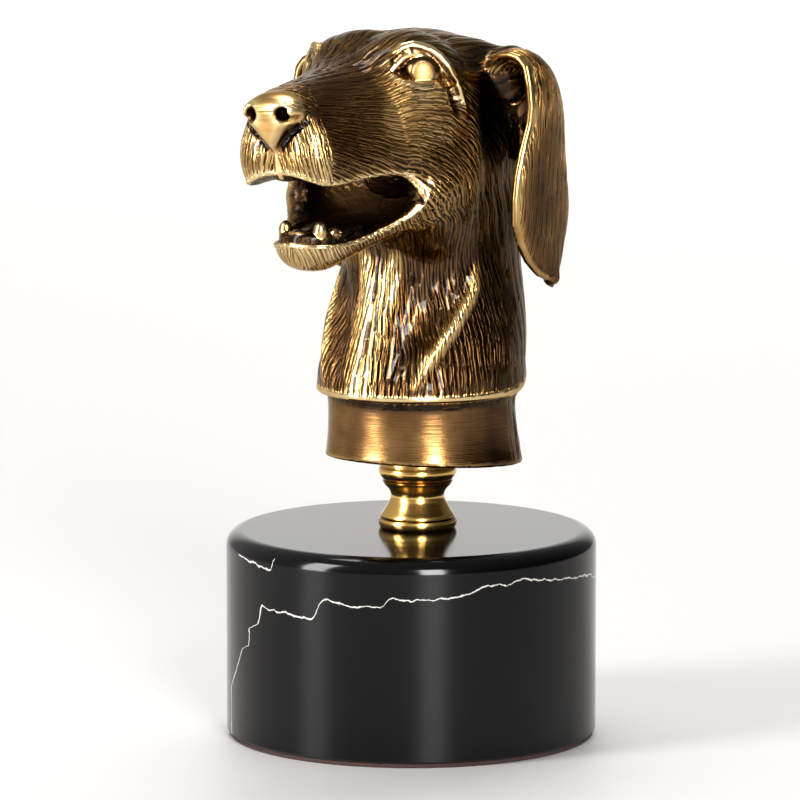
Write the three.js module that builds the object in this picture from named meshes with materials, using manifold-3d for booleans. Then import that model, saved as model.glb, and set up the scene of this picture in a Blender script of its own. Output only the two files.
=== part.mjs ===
// A zodiac dog: a bronze head with an open mouth and hanging ears, cast in one with its plain collar.
// It stands on a turned brass stem in the middle of a round, polished black marble base with a thin pad.
// Millimetres, +Z up. The dog faces -Y, its left side is +X, and the origin is the middle of the pad's underside.
import * as THREE from "three";
import { mergeVertices } from "three/addons/utils/BufferGeometryUtils.js";
import Module from "manifold-3d";

// Driving dimensions.
const BASE_RADIUS = 42;
const BASE_HEIGHT = 46;
const BASE_EDGE_RADIUS = 3.6;
const BASE_FOOT_CHAMFER = 0.5;
const PAD_THICKNESS = 1;
const PAD_INSET = 0.6;
const STEM_RADIUS = 8.95;
const STEM_WAIST_RADIUS = 6.1;
const STEM_SHOWN = 14.5;
const STEM_SETBACK = 2.5;
const SEAT_DEPTH = 1.8;
const SEAT_CLEARANCE = 0.3;
const HEAD_HEIGHT = 100;
const HEAD_LEAN = THREE.MathUtils.degToRad(3.8);
const HEAD_COCK = THREE.MathUtils.degToRad(3.5);

// How finely the cast head is made: the cell that samples its form, and the triangles that are kept.
const FORM_CELL = 1.0;
const HEAD_TRIANGLES = 7500;
const ROUND_STEPS = 60;
const STEM_STEPS = 32;

const stoneTop = PAD_THICKNESS + BASE_HEIGHT;
const headLevel = stoneTop + STEM_SHOWN;
const stemHeight = STEM_SHOWN + SEAT_DEPTH;
const seatRadius = STEM_RADIUS + SEAT_CLEARANCE;

// The head is modelled in hundredths of its own height, from the collar's foot to the crown.
// Every figure in the forms below is such a hundredth, with x to the dog's left, y back and z up.
const headUnit = HEAD_HEIGHT / 100;

// Helpers for soft forms. A form is a function of x, y, z that is negative inside and grows with distance.
const FAR = 40;

function blend(a, b, width) {
  const near = Math.max(width - Math.abs(a - b), 0) / width;
  return Math.min(a, b) - (near * near * width) / 4;
}

function carve(a, b, width) {
  return -blend(-a, b, width);
}

function clamp01(t) {
  return Math.min(1, Math.max(0, t));
}

// A smooth curve through [place, value] pairs, level at its ends.
function profile(pairs) {
  const slopes = pairs.map(([t, v], i) => {
    const before = pairs[i - 1];
    const after = pairs[i + 1];
    if (!before || !after) return 0;
    return (after[1] - before[1]) / (after[0] - before[0]);
  });
  return (t) => {
    if (t <= pairs[0][0]) return pairs[0][1];
    let i = 0;
    while (i < pairs.length - 1 && t > pairs[i + 1][0]) i += 1;
    if (i === pairs.length - 1) return pairs[i][1];
    const span = pairs[i + 1][0] - pairs[i][0];
    const s = (t - pairs[i][0]) / span;
    const rise = s * s * (3 - 2 * s);
    const bow = s * (1 - s) * span;
    return (
      pairs[i][1] * (1 - rise) +
      pairs[i + 1][1] * rise +
      bow * (slopes[i] * (1 - s) - slopes[i + 1] * s)
    );
  };
}

// An egg with its own radii, tipped by pitch about X (nose up is positive) and turned by yaw about Z.
function egg([cx, cy, cz], [rx, ry, rz], pitch = 0, yaw = 0) {
  const cp = Math.cos(pitch);
  const sp = Math.sin(pitch);
  const cw = Math.cos(yaw);
  const sw = Math.sin(yaw);
  const reach = Math.max(rx, ry, rz) + 12;
  return (x, y, z) => {
    let dx = x - cx;
    let dy = y - cy;
    let dz = z - cz;
    if (dx * dx + dy * dy + dz * dz > reach * reach) return FAR;
    [dx, dy] = [dx * cw + dy * sw, dy * cw - dx * sw];
    [dy, dz] = [dy * cp + dz * sp, dz * cp - dy * sp];
    const near = Math.hypot(dx / rx, dy / ry, dz / rz);
    const slope = Math.hypot(dx / (rx * rx), dy / (ry * ry), dz / (rz * rz));
    return slope > 0 ? (near * (near - 1)) / slope : -Math.min(rx, ry, rz);
  };
}

// A round strand through [x, y, z, radius] points.
function strand(points) {
  const low = [0, 1, 2].map((k) => Math.min(...points.map((p) => p[k] - p[3])) - 6);
  const high = [0, 1, 2].map((k) => Math.max(...points.map((p) => p[k] + p[3])) + 6);
  return (x, y, z) => {
    if (x < low[0] || y < low[1] || z < low[2]) return FAR;
    if (x > high[0] || y > high[1] || z > high[2]) return FAR;
    let best = FAR;
    for (let i = 0; i + 1 < points.length; i += 1) {
      const a = points[i];
      const b = points[i + 1];
      const ex = b[0] - a[0];
      const ey = b[1] - a[1];
      const ez = b[2] - a[2];
      const along = (x - a[0]) * ex + (y - a[1]) * ey + (z - a[2]) * ez;
      const t = clamp01(along / (ex * ex + ey * ey + ez * ez));
      const d = Math.hypot(x - a[0] - ex * t, y - a[1] - ey * t, z - a[2] - ez * t);
      best = Math.min(best, d - a[3] - (b[3] - a[3]) * t);
    }
    return best;
  };
}

// The neck: a stack of rounds, each with its centre set back from the base's axis.
const neckBack = profile([[0, 4.8], [16, 4], [22, 4.2], [30, 6.2], [40, 8], [50, 8], [60, 6.4], [75, 5]]);
const neckRadius = profile([[18, 23.6], [22, 23.5], [30, 22.6], [40, 20.9], [50, 19.8], [60, 19.6], [68, 18], [76, 13], [84, 0], [92, -14]]);
const NECK_DEEP = 1.05;
const NECK_SLIM = 0.975;
const FUR_EDGE = 17.4;
const FUR_RISE = 3;
const FOOT_STUB = -4;

function neck(x, y, z) {
  const radius = neckRadius(z);
  return Math.hypot(x / NECK_SLIM, (y - neckBack(z)) / NECK_DEEP) - radius;
}

// The mane hangs over the back of the collar, and the fur's edge stands proud of the collar elsewhere.
const MANE_STRANDS = 11;
const collarRadius = profile([[-6, 23.3], [0, 22.6], [5, 21.8], [11, 21.3], [15, 21.3], [20, 21.8]]);

const maneRadius = profile([[-6, 23], [0, 22.3], [8, 21.4], [14, 21], [18, 21.8], [22, 21.6], [26, 19]]);

function collar(x, y, z) {
  return Math.max(Math.hypot(x, y - neckBack(z)) - collarRadius(z), z - FUR_EDGE - 3);
}

function mane(x, y, z) {
  const around = Math.atan2(Math.abs(x), y - neckBack(z));
  const wave = 0.3 * Math.cos(around * MANE_STRANDS * 2);
  const fade = 2.6 * clamp01((around - 1.3) / 0.35);
  const radius = maneRadius(z) + wave - fade;
  return Math.max(Math.hypot(x, y - neckBack(z)) - radius, z - FUR_EDGE - 6);
}

// The skull, brows and cheeks.
const skull = egg([0, 5.5, 78], [22.3, 23.4, 20]);
const crown = egg([0, -3.4, 83.8], [19, 21, 15]);
const temple = egg([13, 7, 85.2], [9, 10, 10.6]);
const brow = egg([9.2, -11.6, 88.4], [9.8, 10.7, 10]);
const cheek = egg([11.5, -7, 66], [9.5, 14, 16]);
const cheekbone = egg([13.6, -12.4, 81.6], [5, 7.4, 6.5], 0.35, 0.35);
const nape = egg([0, 12, 66], [18.5, 17, 26]);

// The upper muzzle, in slices from the nose back: its top, its lip line and its half width.
const muzzleTop = profile([[-56, 88.6], [-50, 89.8], [-40, 91.4], [-30, 93.2], [-20, 96.2], [-10, 98]]);
const muzzleHalf = profile([[-56, 10.2], [-50, 11], [-45, 11.6], [-40, 12.1], [-34, 13.1], [-28, 14.8], [-20, 18.3]]);
const lipSide = profile([[-56, 69.2], [-50, 69], [-45, 68.7], [-40, 69], [-34, 69.4], [-28, 69.4], [-24.5, 68.7], [-22, 67.4], [-20.6, 65.6]]);
const lipArch = profile([[-54, 2.6], [-48, 2.2], [-42, 0.6], [-38, 0]]);
const MUZZLE_TAPER = 0.22;
const MUZZLE_FRONT = -52.9;
const MUZZLE_BACK = -7;
const MUZZLE_SQUARE = 2.7;

// The upper lip hangs lower at the sides than in the middle of the front.
function lipLine(x, y) {
  return lipSide(y) + lipArch(y) * Math.max(0, 1 - (x / 10) ** 2);
}

// The muzzle and the jaw run on past their lips; the mouth is cut through both at the lip lines.
const LIP_SPARE = 5;

function muzzle(x, y, z) {
  if (y > 8 || z < 56) return FAR;
  const top = muzzleTop(y);
  const bottom = lipSide(y) - LIP_SPARE;
  const middle = (top + bottom) / 2;
  const half = (top - bottom) / 2;
  const rise = (z - middle) / half;
  const wide = muzzleHalf(y) * (1 - MUZZLE_TAPER * Math.max(-1, Math.min(1.2, rise)));
  const square = (Math.abs(x) / wide) ** MUZZLE_SQUARE + Math.abs(rise) ** MUZZLE_SQUARE;
  const body = (square ** (1 / MUZZLE_SQUARE) - 1) * Math.min(wide, half);
  const front = MUZZLE_FRONT - y + 0.11 * (88 - z);
  const behind = y - MUZZLE_BACK;
  return carve(carve(body, -front, 5), -behind, 6);
}

const lipPad = egg([5.6, -47.2, 75.3], [5.7, 5.2, 6.4]);
const philtrum = strand([[0, -53.2, 77.5, 0.5], [0, -53, 74, 0.7], [0, -51.8, 70.5, 1.1]]);

// The lower jaw, in slices from the chin back.
const jawHalf = profile([[-48, 7.4], [-44, 7.6], [-40, 8.6], [-36, 10.3], [-32, 12.2], [-28, 14.5], [-24, 17.1], [-19, 19.6]]);
const jawTop = profile([[-48, 55.4], [-42, 55.9], [-36, 56.7], [-30, 58.2], [-25, 59.9], [-20, 62.2], [-14, 66]]);
const jawUnder = profile([[-48, 49.8], [-44, 48.2], [-40, 48.4], [-34, 50.6], [-26, 53.6], [-18, 54.5], [-8, 52]]);

const JAW_SQUARE = 2.4;
const JAW_FRONT = -46.7;
const JAW_RECEDE = 0.42;
const JAW_BACK = -7;

function jaw(x, y, z) {
  if (y > 8 || z > 76) return FAR;
  const top = jawTop(y) + LIP_SPARE;
  const bottom = jawUnder(y);
  const middle = (top + bottom) / 2;
  const half = (top - bottom) / 2;
  const rise = (z - middle) / half;
  const wide = jawHalf(y) * (1 + 0.06 * Math.min(1, rise));
  const square = (Math.abs(x) / wide) ** JAW_SQUARE + Math.abs(rise) ** JAW_SQUARE;
  const body = (square ** (1 / JAW_SQUARE) - 1) * Math.min(wide, half);
  const front = JAW_FRONT - y + JAW_RECEDE * (56 - z);
  return carve(carve(body, -front, 6), JAW_BACK - y, 6);
}

// The open mouth, seen from the side: the gap between the lips, as wide as the head.
const gapFoot = profile([[-60, 55], [-44, 54.7], [-38.5, 54.9], [-34, 55.9], [-29.6, 57.6], [-26.6, 59.2], [-23, 61.3], [-20.8, 63.4]]);
const MOUTH_CORNER = -20.4;

function mouthGap(x, y, z) {
  if (y > MOUTH_CORNER + 6 || z < 50 || z > 76) return FAR;
  const beyond = y - MOUTH_CORNER;
  const along = Math.min(y, MOUTH_CORNER - 0.4);
  const above = z - lipLine(x, along);
  const below = gapFoot(along) - z;
  return carve(Math.max(above, below), -beyond, 2.4);
}

const palate = egg([0, -30.5, 68.5], [9.8, 17.5, 6.4], -0.04);
const gullet = egg([0, -20, 64.5], [13.5, 15, 7.5], 0.2);
const jawHollow = egg([0, -29, 59.5], [9.3, 15.5, 4.6], 0.12);
const tongue = egg([0, -30, 56.6], [6.8, 13, 3.4], 0.13);
const LIP_ROLL = 0.95;

// The rolled lip runs where the face's skin meets the gap, upper and lower lip in one.
function lipRoll(skin, gap, y) {
  return Math.hypot(skin + 0.55, gap) - LIP_ROLL * clamp01((-17 - y) / 2) - 0.01;
}

const gum = strand([[0, -44.6, 56.2, 1.5], [3.2, -43.9, 56.2, 1.5], [5.2, -41.8, 56.3, 1.5], [6.6, -37.6, 56.8, 1.4], [7.6, -32, 57.8, 1.2]]);
const teeth = [
  egg([0, -44.4, 58.2], [3.1, 1.2, 2]),
  egg([4.8, -42.6, 58], [1.3, 1.3, 2.2]),
  egg([6.4, -39.2, 57.8], [1.1, 1.4, 1.5]),
  egg([7.1, -35.6, 58.2], [0.9, 1.2, 1.2]),
];
const upperTeeth = egg([0, -48.6, 71], [3.8, 2, 1.6]);

// The nose leather with its nostrils.
const noseTop = egg([0, -50.8, 86], [7.6, 4.7, 3.6], 0.12);
const noseWing = egg([4.8, -51.4, 84.7], [3.3, 3.6, 3]);
const noseHalf = profile([[75.6, 0.1], [78, 1.5], [80, 3], [82, 4.6], [84, 6], [87, 6.4]]);
const noseFace = profile([[75.6, -53.2], [78, -54.2], [82, -55.1], [86, -55.4], [90, -54.4]]);

// The leather's front is a plate that narrows to a point between the lips.
function nosePlate(x, y, z) {
  if (y > -40 || z < 70 || z > 94) return FAR;
  const side = (Math.abs(x) - noseHalf(z)) * 0.75;
  return carve(carve(side, y - noseFace(z), 1.8), Math.min(-y - 48, 87 - z), 1.5);
}

const nostril = strand([[4, -57, 84.8, 1.3], [4.1, -53.6, 84.9, 1.6], [4.6, -51, 85.1, 0.9]]);
const nostrilTail = strand([[4.4, -55.4, 84, 1.1], [6.5, -54.4, 83.3, 0.8], [8, -52.6, 83.6, 0.5]]);

// Eyes: a ball with a flat iris in an almond socket, an upper lid, a brow fold and a lower lid.
const eyeSocket = strand([
  [11.4, -21.8, 91, 1.6], [13.4, -19.2, 92.4, 3.6], [15.4, -16.8, 91.9, 3.8], [18, -13.6, 90, 2.2], [20.2, -11.4, 86.6, 1.2], [21, -9.8, 83, 0.6],
]);
const eyeball = egg([11.8, -13.8, 91.2], [4.9, 4.9, 4.7]);
const iris = egg([14.1, -16.4, 91.6], [1.6, 1.7, 2.1], 0, 0.74);
const upperLid = strand([
  [9.1, -23, 89.6, 0.5], [11.1, -20.6, 92.7, 0.8], [12, -19.4, 94.4, 0.8], [13.2, -17.8, 95.3, 0.8], [14.3, -16.4, 95.3, 0.8],
  [15.5, -14.8, 94.5, 0.8], [16.9, -13.4, 92.8, 0.8], [18.4, -12.6, 91.2, 0.8], [19.9, -11.1, 87.1, 0.8], [20.7, -9.7, 83, 0.6],
]);
const lowerLid = strand([[11.4, -20.4, 89.9, 0.4], [13.7, -18.5, 88.1, 0.7], [16.2, -15.2, 88, 0.8], [18.2, -12.7, 89.2, 0.6]]);
const browFold = strand([
  [8.6, -21.7, 91.9, 0.7], [10.5, -19.6, 94.4, 1], [11.7, -18.5, 96, 1], [13.4, -17.2, 96.3, 1], [14.6, -15.9, 95.9, 1.1],
  [16.1, -14.3, 95, 1.1], [18, -13.2, 93.3, 1.1], [19.3, -12.4, 91.5, 1.1], [20.7, -10.4, 87, 1], [20.9, -8.2, 81.5, 0.8],
]);
const browFurrow = strand([[0, -22, 98.6, 1.3], [0, -14, 100.8, 1.6], [0, -4, 102.8, 1.4]]);

// The ears: a flap that leaves the skull level, turns down over its own fold and hangs.
// Its middle line, seen from the front, is [x, z]; each point also has the flap's front and back edge.
const EAR_LINE = [
  [15, 88], [21.5, 91], [25.5, 92.8], [29, 92], [31.3, 89.2], [32, 84.5],
  [31.6, 78], [30.7, 71], [29.8, 64], [29.3, 57], [29.1, 50], [29.2, 43.8],
];
const earFront = profile([
  [0, 2.5], [1, 1.8], [2, 1.6], [3, 1.5], [4, 1.3], [5, 1], [6, 0.8], [7, -1.5], [8, -3], [9, -2.6], [10, 2.2], [10.6, 7], [11, 11.6],
]);
const earBack = profile([
  [0, 12], [1, 12.5], [2, 13], [3, 13.4], [4, 14.2], [5, 15.2], [6, 16], [7, 16.6], [8, 18], [9, 19.3], [10, 18.4], [10.6, 17], [11, 15.4],
]);
const earDrop = profile([[0, 3.4], [1, 4], [2, 4.6], [3, 4.8], [4, 4], [5, 2.9], [6, 2], [7, 1.4], [9, 1], [11, 1]]);
const EAR_THICK = 1.4;

const EAR_PARTS = 4;
const earCurve = new THREE.CatmullRomCurve3(EAR_LINE.map(([x, z]) => new THREE.Vector3(x, 0, z)));
const earPoints = earCurve.getPoints(EAR_PARTS * (EAR_LINE.length - 1)).map((p) => [p.x, p.z]);

function ear(x, y, z) {
  if (x < 11 || z < 38 || y < -9 || y > 26) return FAR;
  let best = FAR;
  let place = 0;
  let side = 1;
  for (let i = 0; i + 1 < earPoints.length; i += 1) {
    const [ax, az] = earPoints[i];
    const ex = earPoints[i + 1][0] - ax;
    const ez = earPoints[i + 1][1] - az;
    const t = clamp01(((x - ax) * ex + (z - az) * ez) / (ex * ex + ez * ez));
    const d = Math.hypot(x - ax - ex * t, z - az - ez * t);
    if (d < best) {
      best = d;
      place = (i + t) / EAR_PARTS;
      side = Math.sign((x - ax) * -ez + (z - az) * ex) || 1;
    }
  }
  const front = earFront(place);
  const back = earBack(place);
  const half = (back - front) / 2;
  const across = (y - (front + back) / 2) / half;
  const turn = Math.max(0, Math.min(1.15, (1 + across) / 2));
  const drop = earDrop(place) * turn * turn;
  const sheet = side * best + drop;
  const thick = Math.abs(sheet) / Math.hypot(1, (drop ? (2 * drop) / turn : 0) / (2 * half)) - EAR_THICK;
  const wide = Math.abs(y - (front + back) / 2) - half;
  return carve(thick, -wide, 1.6);
}

const earRoot = strand([[15, 7, 88, 5.4], [20.4, 7, 89, 3.4]]);
const earWeb = strand([[21.5, 10, 90, 4.4], [24.6, 11.5, 83, 3.6], [25, 12, 75, 2.2], [23, 12, 69, 0.8]]);
const earHollow = egg([24, 0.5, 80], [3.6, 5, 12]);
const earRim = strand([
  [20.8, 1.4, 91, 0.9], [24, 1.2, 92.9, 1.15], [26.9, 1.2, 93.1, 1.25], [29.5, 1.1, 92.2, 1.3], [31.1, 1, 90.4, 1.3],
  [31.9, 0.8, 86.6, 1.3], [32, 0.9, 81.3, 1.25], [31.5, 0.6, 77.6, 1.2], [30.4, -1.4, 71, 1.15], [29.7, -2.6, 66, 1.1],
  [29.4, -3.1, 61.3, 1.1], [29.2, -2.4, 56.6, 1.1], [29.1, 0.1, 52.3, 1.05], [29, 3.6, 48.6, 1], [29, 8, 45.3, 1], [29.2, 12.8, 43.4, 0.9],
]);

// Folds of the neck, each a long ridge that runs down to the fur's edge.
const neckFolds = [
  [[17.4, 0, 46, 1], [17.8, -2, 40, 1.7], [16.2, -8.2, 32.5, 2], [14.2, -12.5, 27, 1.9], [12.2, -15.6, 21.5, 1.3]],
  [[5.4, -13.2, 47, 1.5], [5.2, -14, 40, 2], [3.8, -15.4, 33.5, 2], [1.4, -17.6, 27, 2.2], [1.2, -19.4, 20, 1.6]],
].map(strand);
const neckHollows = [
  [[13, -9.5, 45, 1.8], [11, -12.6, 38, 2.2], [9, -15, 31, 1.8], [7.6, -17.4, 26, 1]],
  [[0, -13.4, 46, 1], [0, -15.2, 39, 1.3], [0, -17.4, 33, 0.8]],
].map(strand);

// The whole casting before its foot is cut. The forms are the same on both sides, but the head is held
// a little cocked: above the neck it tips over, left side up, about a level line below the eyes.
const COCK_FROM = 46;
const COCK_FULL = 70;
const COCK_LEVEL = 80;

function headForm(wx, y, wz) {
  const share = clamp01((wz - COCK_FROM) / (COCK_FULL - COCK_FROM));
  const turn = HEAD_COCK * share * share * (3 - 2 * share);
  const px = wx * Math.cos(turn) + (wz - COCK_LEVEL) * Math.sin(turn);
  const z = COCK_LEVEL - wx * Math.sin(turn) + (wz - COCK_LEVEL) * Math.cos(turn);
  const x = Math.abs(px);
  let d = neck(px, y, z);
  d = blend(d, nape(px, y, z), 6);
  d = blend(d, skull(px, y, z), 5);
  d = blend(d, crown(px, y, z), 5);
  d = blend(d, temple(x, y, z), 4);
  d = blend(d, brow(x, y, z), 4);
  d = blend(d, cheek(x, y, z), 7);
  d = blend(d, muzzle(px, y, z), 6);
  d = blend(d, lipPad(x, y, z), 3);
  d = blend(d, jaw(px, y, z), 5);
  d = blend(d, cheekbone(x, y, z), 4);
  d = carve(d, browFurrow(px, y, z), 4);
  for (const hollow of neckHollows) d = carve(d, hollow(x, y, z), 3);
  for (const fold of neckFolds) d = blend(d, fold(x, y, z), 2.4);
  d = carve(d, z - FUR_EDGE - FUR_RISE * clamp01((y - 8) / 16), 1.2);
  d = blend(d, mane(px, y, z), 3);
  d = Math.max(Math.min(d, collar(px, y, z)), FOOT_STUB - z);
  const gap = mouthGap(px, y, z);
  const roll = lipRoll(d, gap, y);
  d = carve(d, gap, 1);
  d = carve(d, palate(px, y, z), 1);
  d = carve(d, gullet(px, y, z), 1.5);
  d = carve(d, jawHollow(px, y, z), 1);
  d = blend(d, roll, 0.8);
  d = blend(d, tongue(px, y, z), 1);
  d = blend(d, gum(x, y, z), 1);
  for (const tooth of teeth) d = blend(d, tooth(x, y, z), 0.5);
  d = blend(d, upperTeeth(px, y, z), 0.8);
  d = carve(d, philtrum(px, y, z), 0.8);
  d = blend(d, noseTop(px, y, z), 0.8);
  d = blend(d, nosePlate(px, y, z), 1);
  d = blend(d, noseWing(x, y, z), 1);
  d = carve(d, Math.min(nostril(x, y, z), nostrilTail(x, y, z)), 0.6);
  d = carve(d, eyeSocket(x, y, z), 1.2);
  d = blend(d, eyeball(x, y, z), 0.3);
  d = blend(d, iris(x, y, z), 0.4);
  d = blend(d, browFold(x, y, z), 1.6);
  d = blend(d, upperLid(x, y, z), 0.5);
  d = blend(d, lowerLid(x, y, z), 1);
  d = carve(d, earHollow(x, y, z), 3);
  d = blend(d, earRoot(x, y, z), 3);
  d = blend(d, earWeb(x, y, z), 4);
  d = blend(d, ear(x, y, z), 1.6);
  d = blend(d, earRim(x, y, z), 0.6);
  return d;
}

// The corners of a cube are numbered by their bits, x 1, y 2 and z 4. Six tetrahedra share its long diagonal.
const TETRAHEDRA = [
  [0, 1, 3, 7], [0, 3, 2, 7], [0, 2, 6, 7], [0, 6, 4, 7], [0, 4, 5, 7], [0, 5, 1, 7],
];
const ALONE = [[0, 1, 2, 3], [1, 0, 3, 2], [2, 0, 1, 3], [3, 0, 2, 1]];
const PAIRS = [[0, 1, 2, 3], [0, 2, 3, 1], [0, 3, 1, 2], [1, 2, 0, 3], [1, 3, 2, 0], [2, 3, 0, 1]];
const BLOCK = 4;

// Samples a form on a grid. Blocks of cells that lie well away from the surface get one value for all.
function sample(form, low, high, cell) {
  const count = low.map((v, k) => BLOCK * Math.ceil((high[k] - v) / cell / BLOCK) + 1);
  const values = new Float32Array(count[0] * count[1] * count[2]).fill(FAR);
  const index = (i, j, k) => (k * count[1] + j) * count[0] + i;
  const at = (i, j, k) => form(low[0] + i * cell, low[1] + j * cell, low[2] + k * cell);
  const reach = BLOCK * cell * 1.5;
  for (let k = 0; k < count[2]; k += BLOCK)
    for (let j = 0; j < count[1]; j += BLOCK)
      for (let i = 0; i < count[0]; i += BLOCK) {
        const middle = at(i + BLOCK / 2, j + BLOCK / 2, k + BLOCK / 2);
        const near = Math.abs(middle) < reach;
        for (let c = k; c < Math.min(k + BLOCK, count[2]); c += 1)
          for (let b = j; b < Math.min(j + BLOCK, count[1]); b += 1)
            for (let a = i; a < Math.min(i + BLOCK, count[0]); a += 1)
              values[index(a, b, c)] = (near ? at(a, b, c) : middle) || 1e-6;
      }
  return { values, count, index };
}

// The surface of a form as shared vertices and triangles that face out, one tetrahedron at a time.
function surface(form, low, high, cell) {
  const { values, count, index } = sample(form, low, high, cell);
  const positions = [];
  const triangles = [];
  const seen = new Map();
  const cut = (a, b) => {
    const [p, q] = a.id < b.id ? [a, b] : [b, a];
    const key = p.id * values.length + q.id;
    if (!seen.has(key)) {
      seen.set(key, positions.length / 3);
      const t = Math.min(0.98, Math.max(0.02, p.value / (p.value - q.value)));
      for (const axis of [0, 1, 2])
        positions.push(low[axis] + cell * (p.at[axis] + (q.at[axis] - p.at[axis]) * t));
    }
    return seen.get(key);
  };
  const corner = (i, j, k, bits) => {
    const at = [i + (bits & 1), j + ((bits >> 1) & 1), k + ((bits >> 2) & 1)];
    const id = index(...at);
    return { at, id, value: values[id] };
  };
  for (let k = 0; k < count[2] - 1; k += 1)
    for (let j = 0; j < count[1] - 1; j += 1)
      for (let i = 0; i < count[0] - 1; i += 1) {
        let inside = 0;
        for (let bits = 0; bits < 8; bits += 1)
          inside += values[index(i + (bits & 1), j + ((bits >> 1) & 1), k + ((bits >> 2) & 1))] < 0 ? 1 : 0;
        if (inside === 0 || inside === 8) continue;
        const corners = [0, 1, 2, 3, 4, 5, 6, 7].map((bits) => corner(i, j, k, bits));
        for (const tetra of TETRAHEDRA) {
          const v = tetra.map((bits) => corners[bits]);
          const within = v.map((c) => c.value < 0);
          const n = within.filter(Boolean).length;
          if (n === 1 || n === 3) {
            const [a, b, c, d] = ALONE[within.indexOf(n === 1)].map((m) => v[m]);
            const tri = [cut(a, b), cut(a, c), cut(a, d)];
            triangles.push(n === 1 ? tri : tri.reverse());
          } else if (n === 2) {
            const [a, b, c, d] = PAIRS.find((p) => within[p[0]] && within[p[1]]).map((m) => v[m]);
            const [ac, ad, bd, bc] = [cut(a, c), cut(a, d), cut(b, d), cut(b, c)];
            triangles.push([ac, ad, bd], [ac, bd, bc]);
          }
        }
      }
  return { positions, triangles };
}

// A heap of edges by what their collapse would cost.
class Heap {
  constructor() {
    this.items = [];
  }
  push(item) {
    const { items } = this;
    let i = items.push(item) - 1;
    while (i > 0) {
      const up = (i - 1) >> 1;
      if (items[up].cost <= item.cost) break;
      items[i] = items[up];
      i = up;
    }
    items[i] = item;
  }
  pop() {
    const { items } = this;
    const top = items[0];
    const last = items.pop();
    if (items.length) {
      let i = 0;
      for (;;) {
        let child = 2 * i + 1;
        if (child >= items.length) break;
        if (child + 1 < items.length && items[child + 1].cost < items[child].cost) child += 1;
        if (items[child].cost >= last.cost) break;
        items[i] = items[child];
        i = child;
      }
      items[i] = last;
    }
    return top;
  }
}

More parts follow.
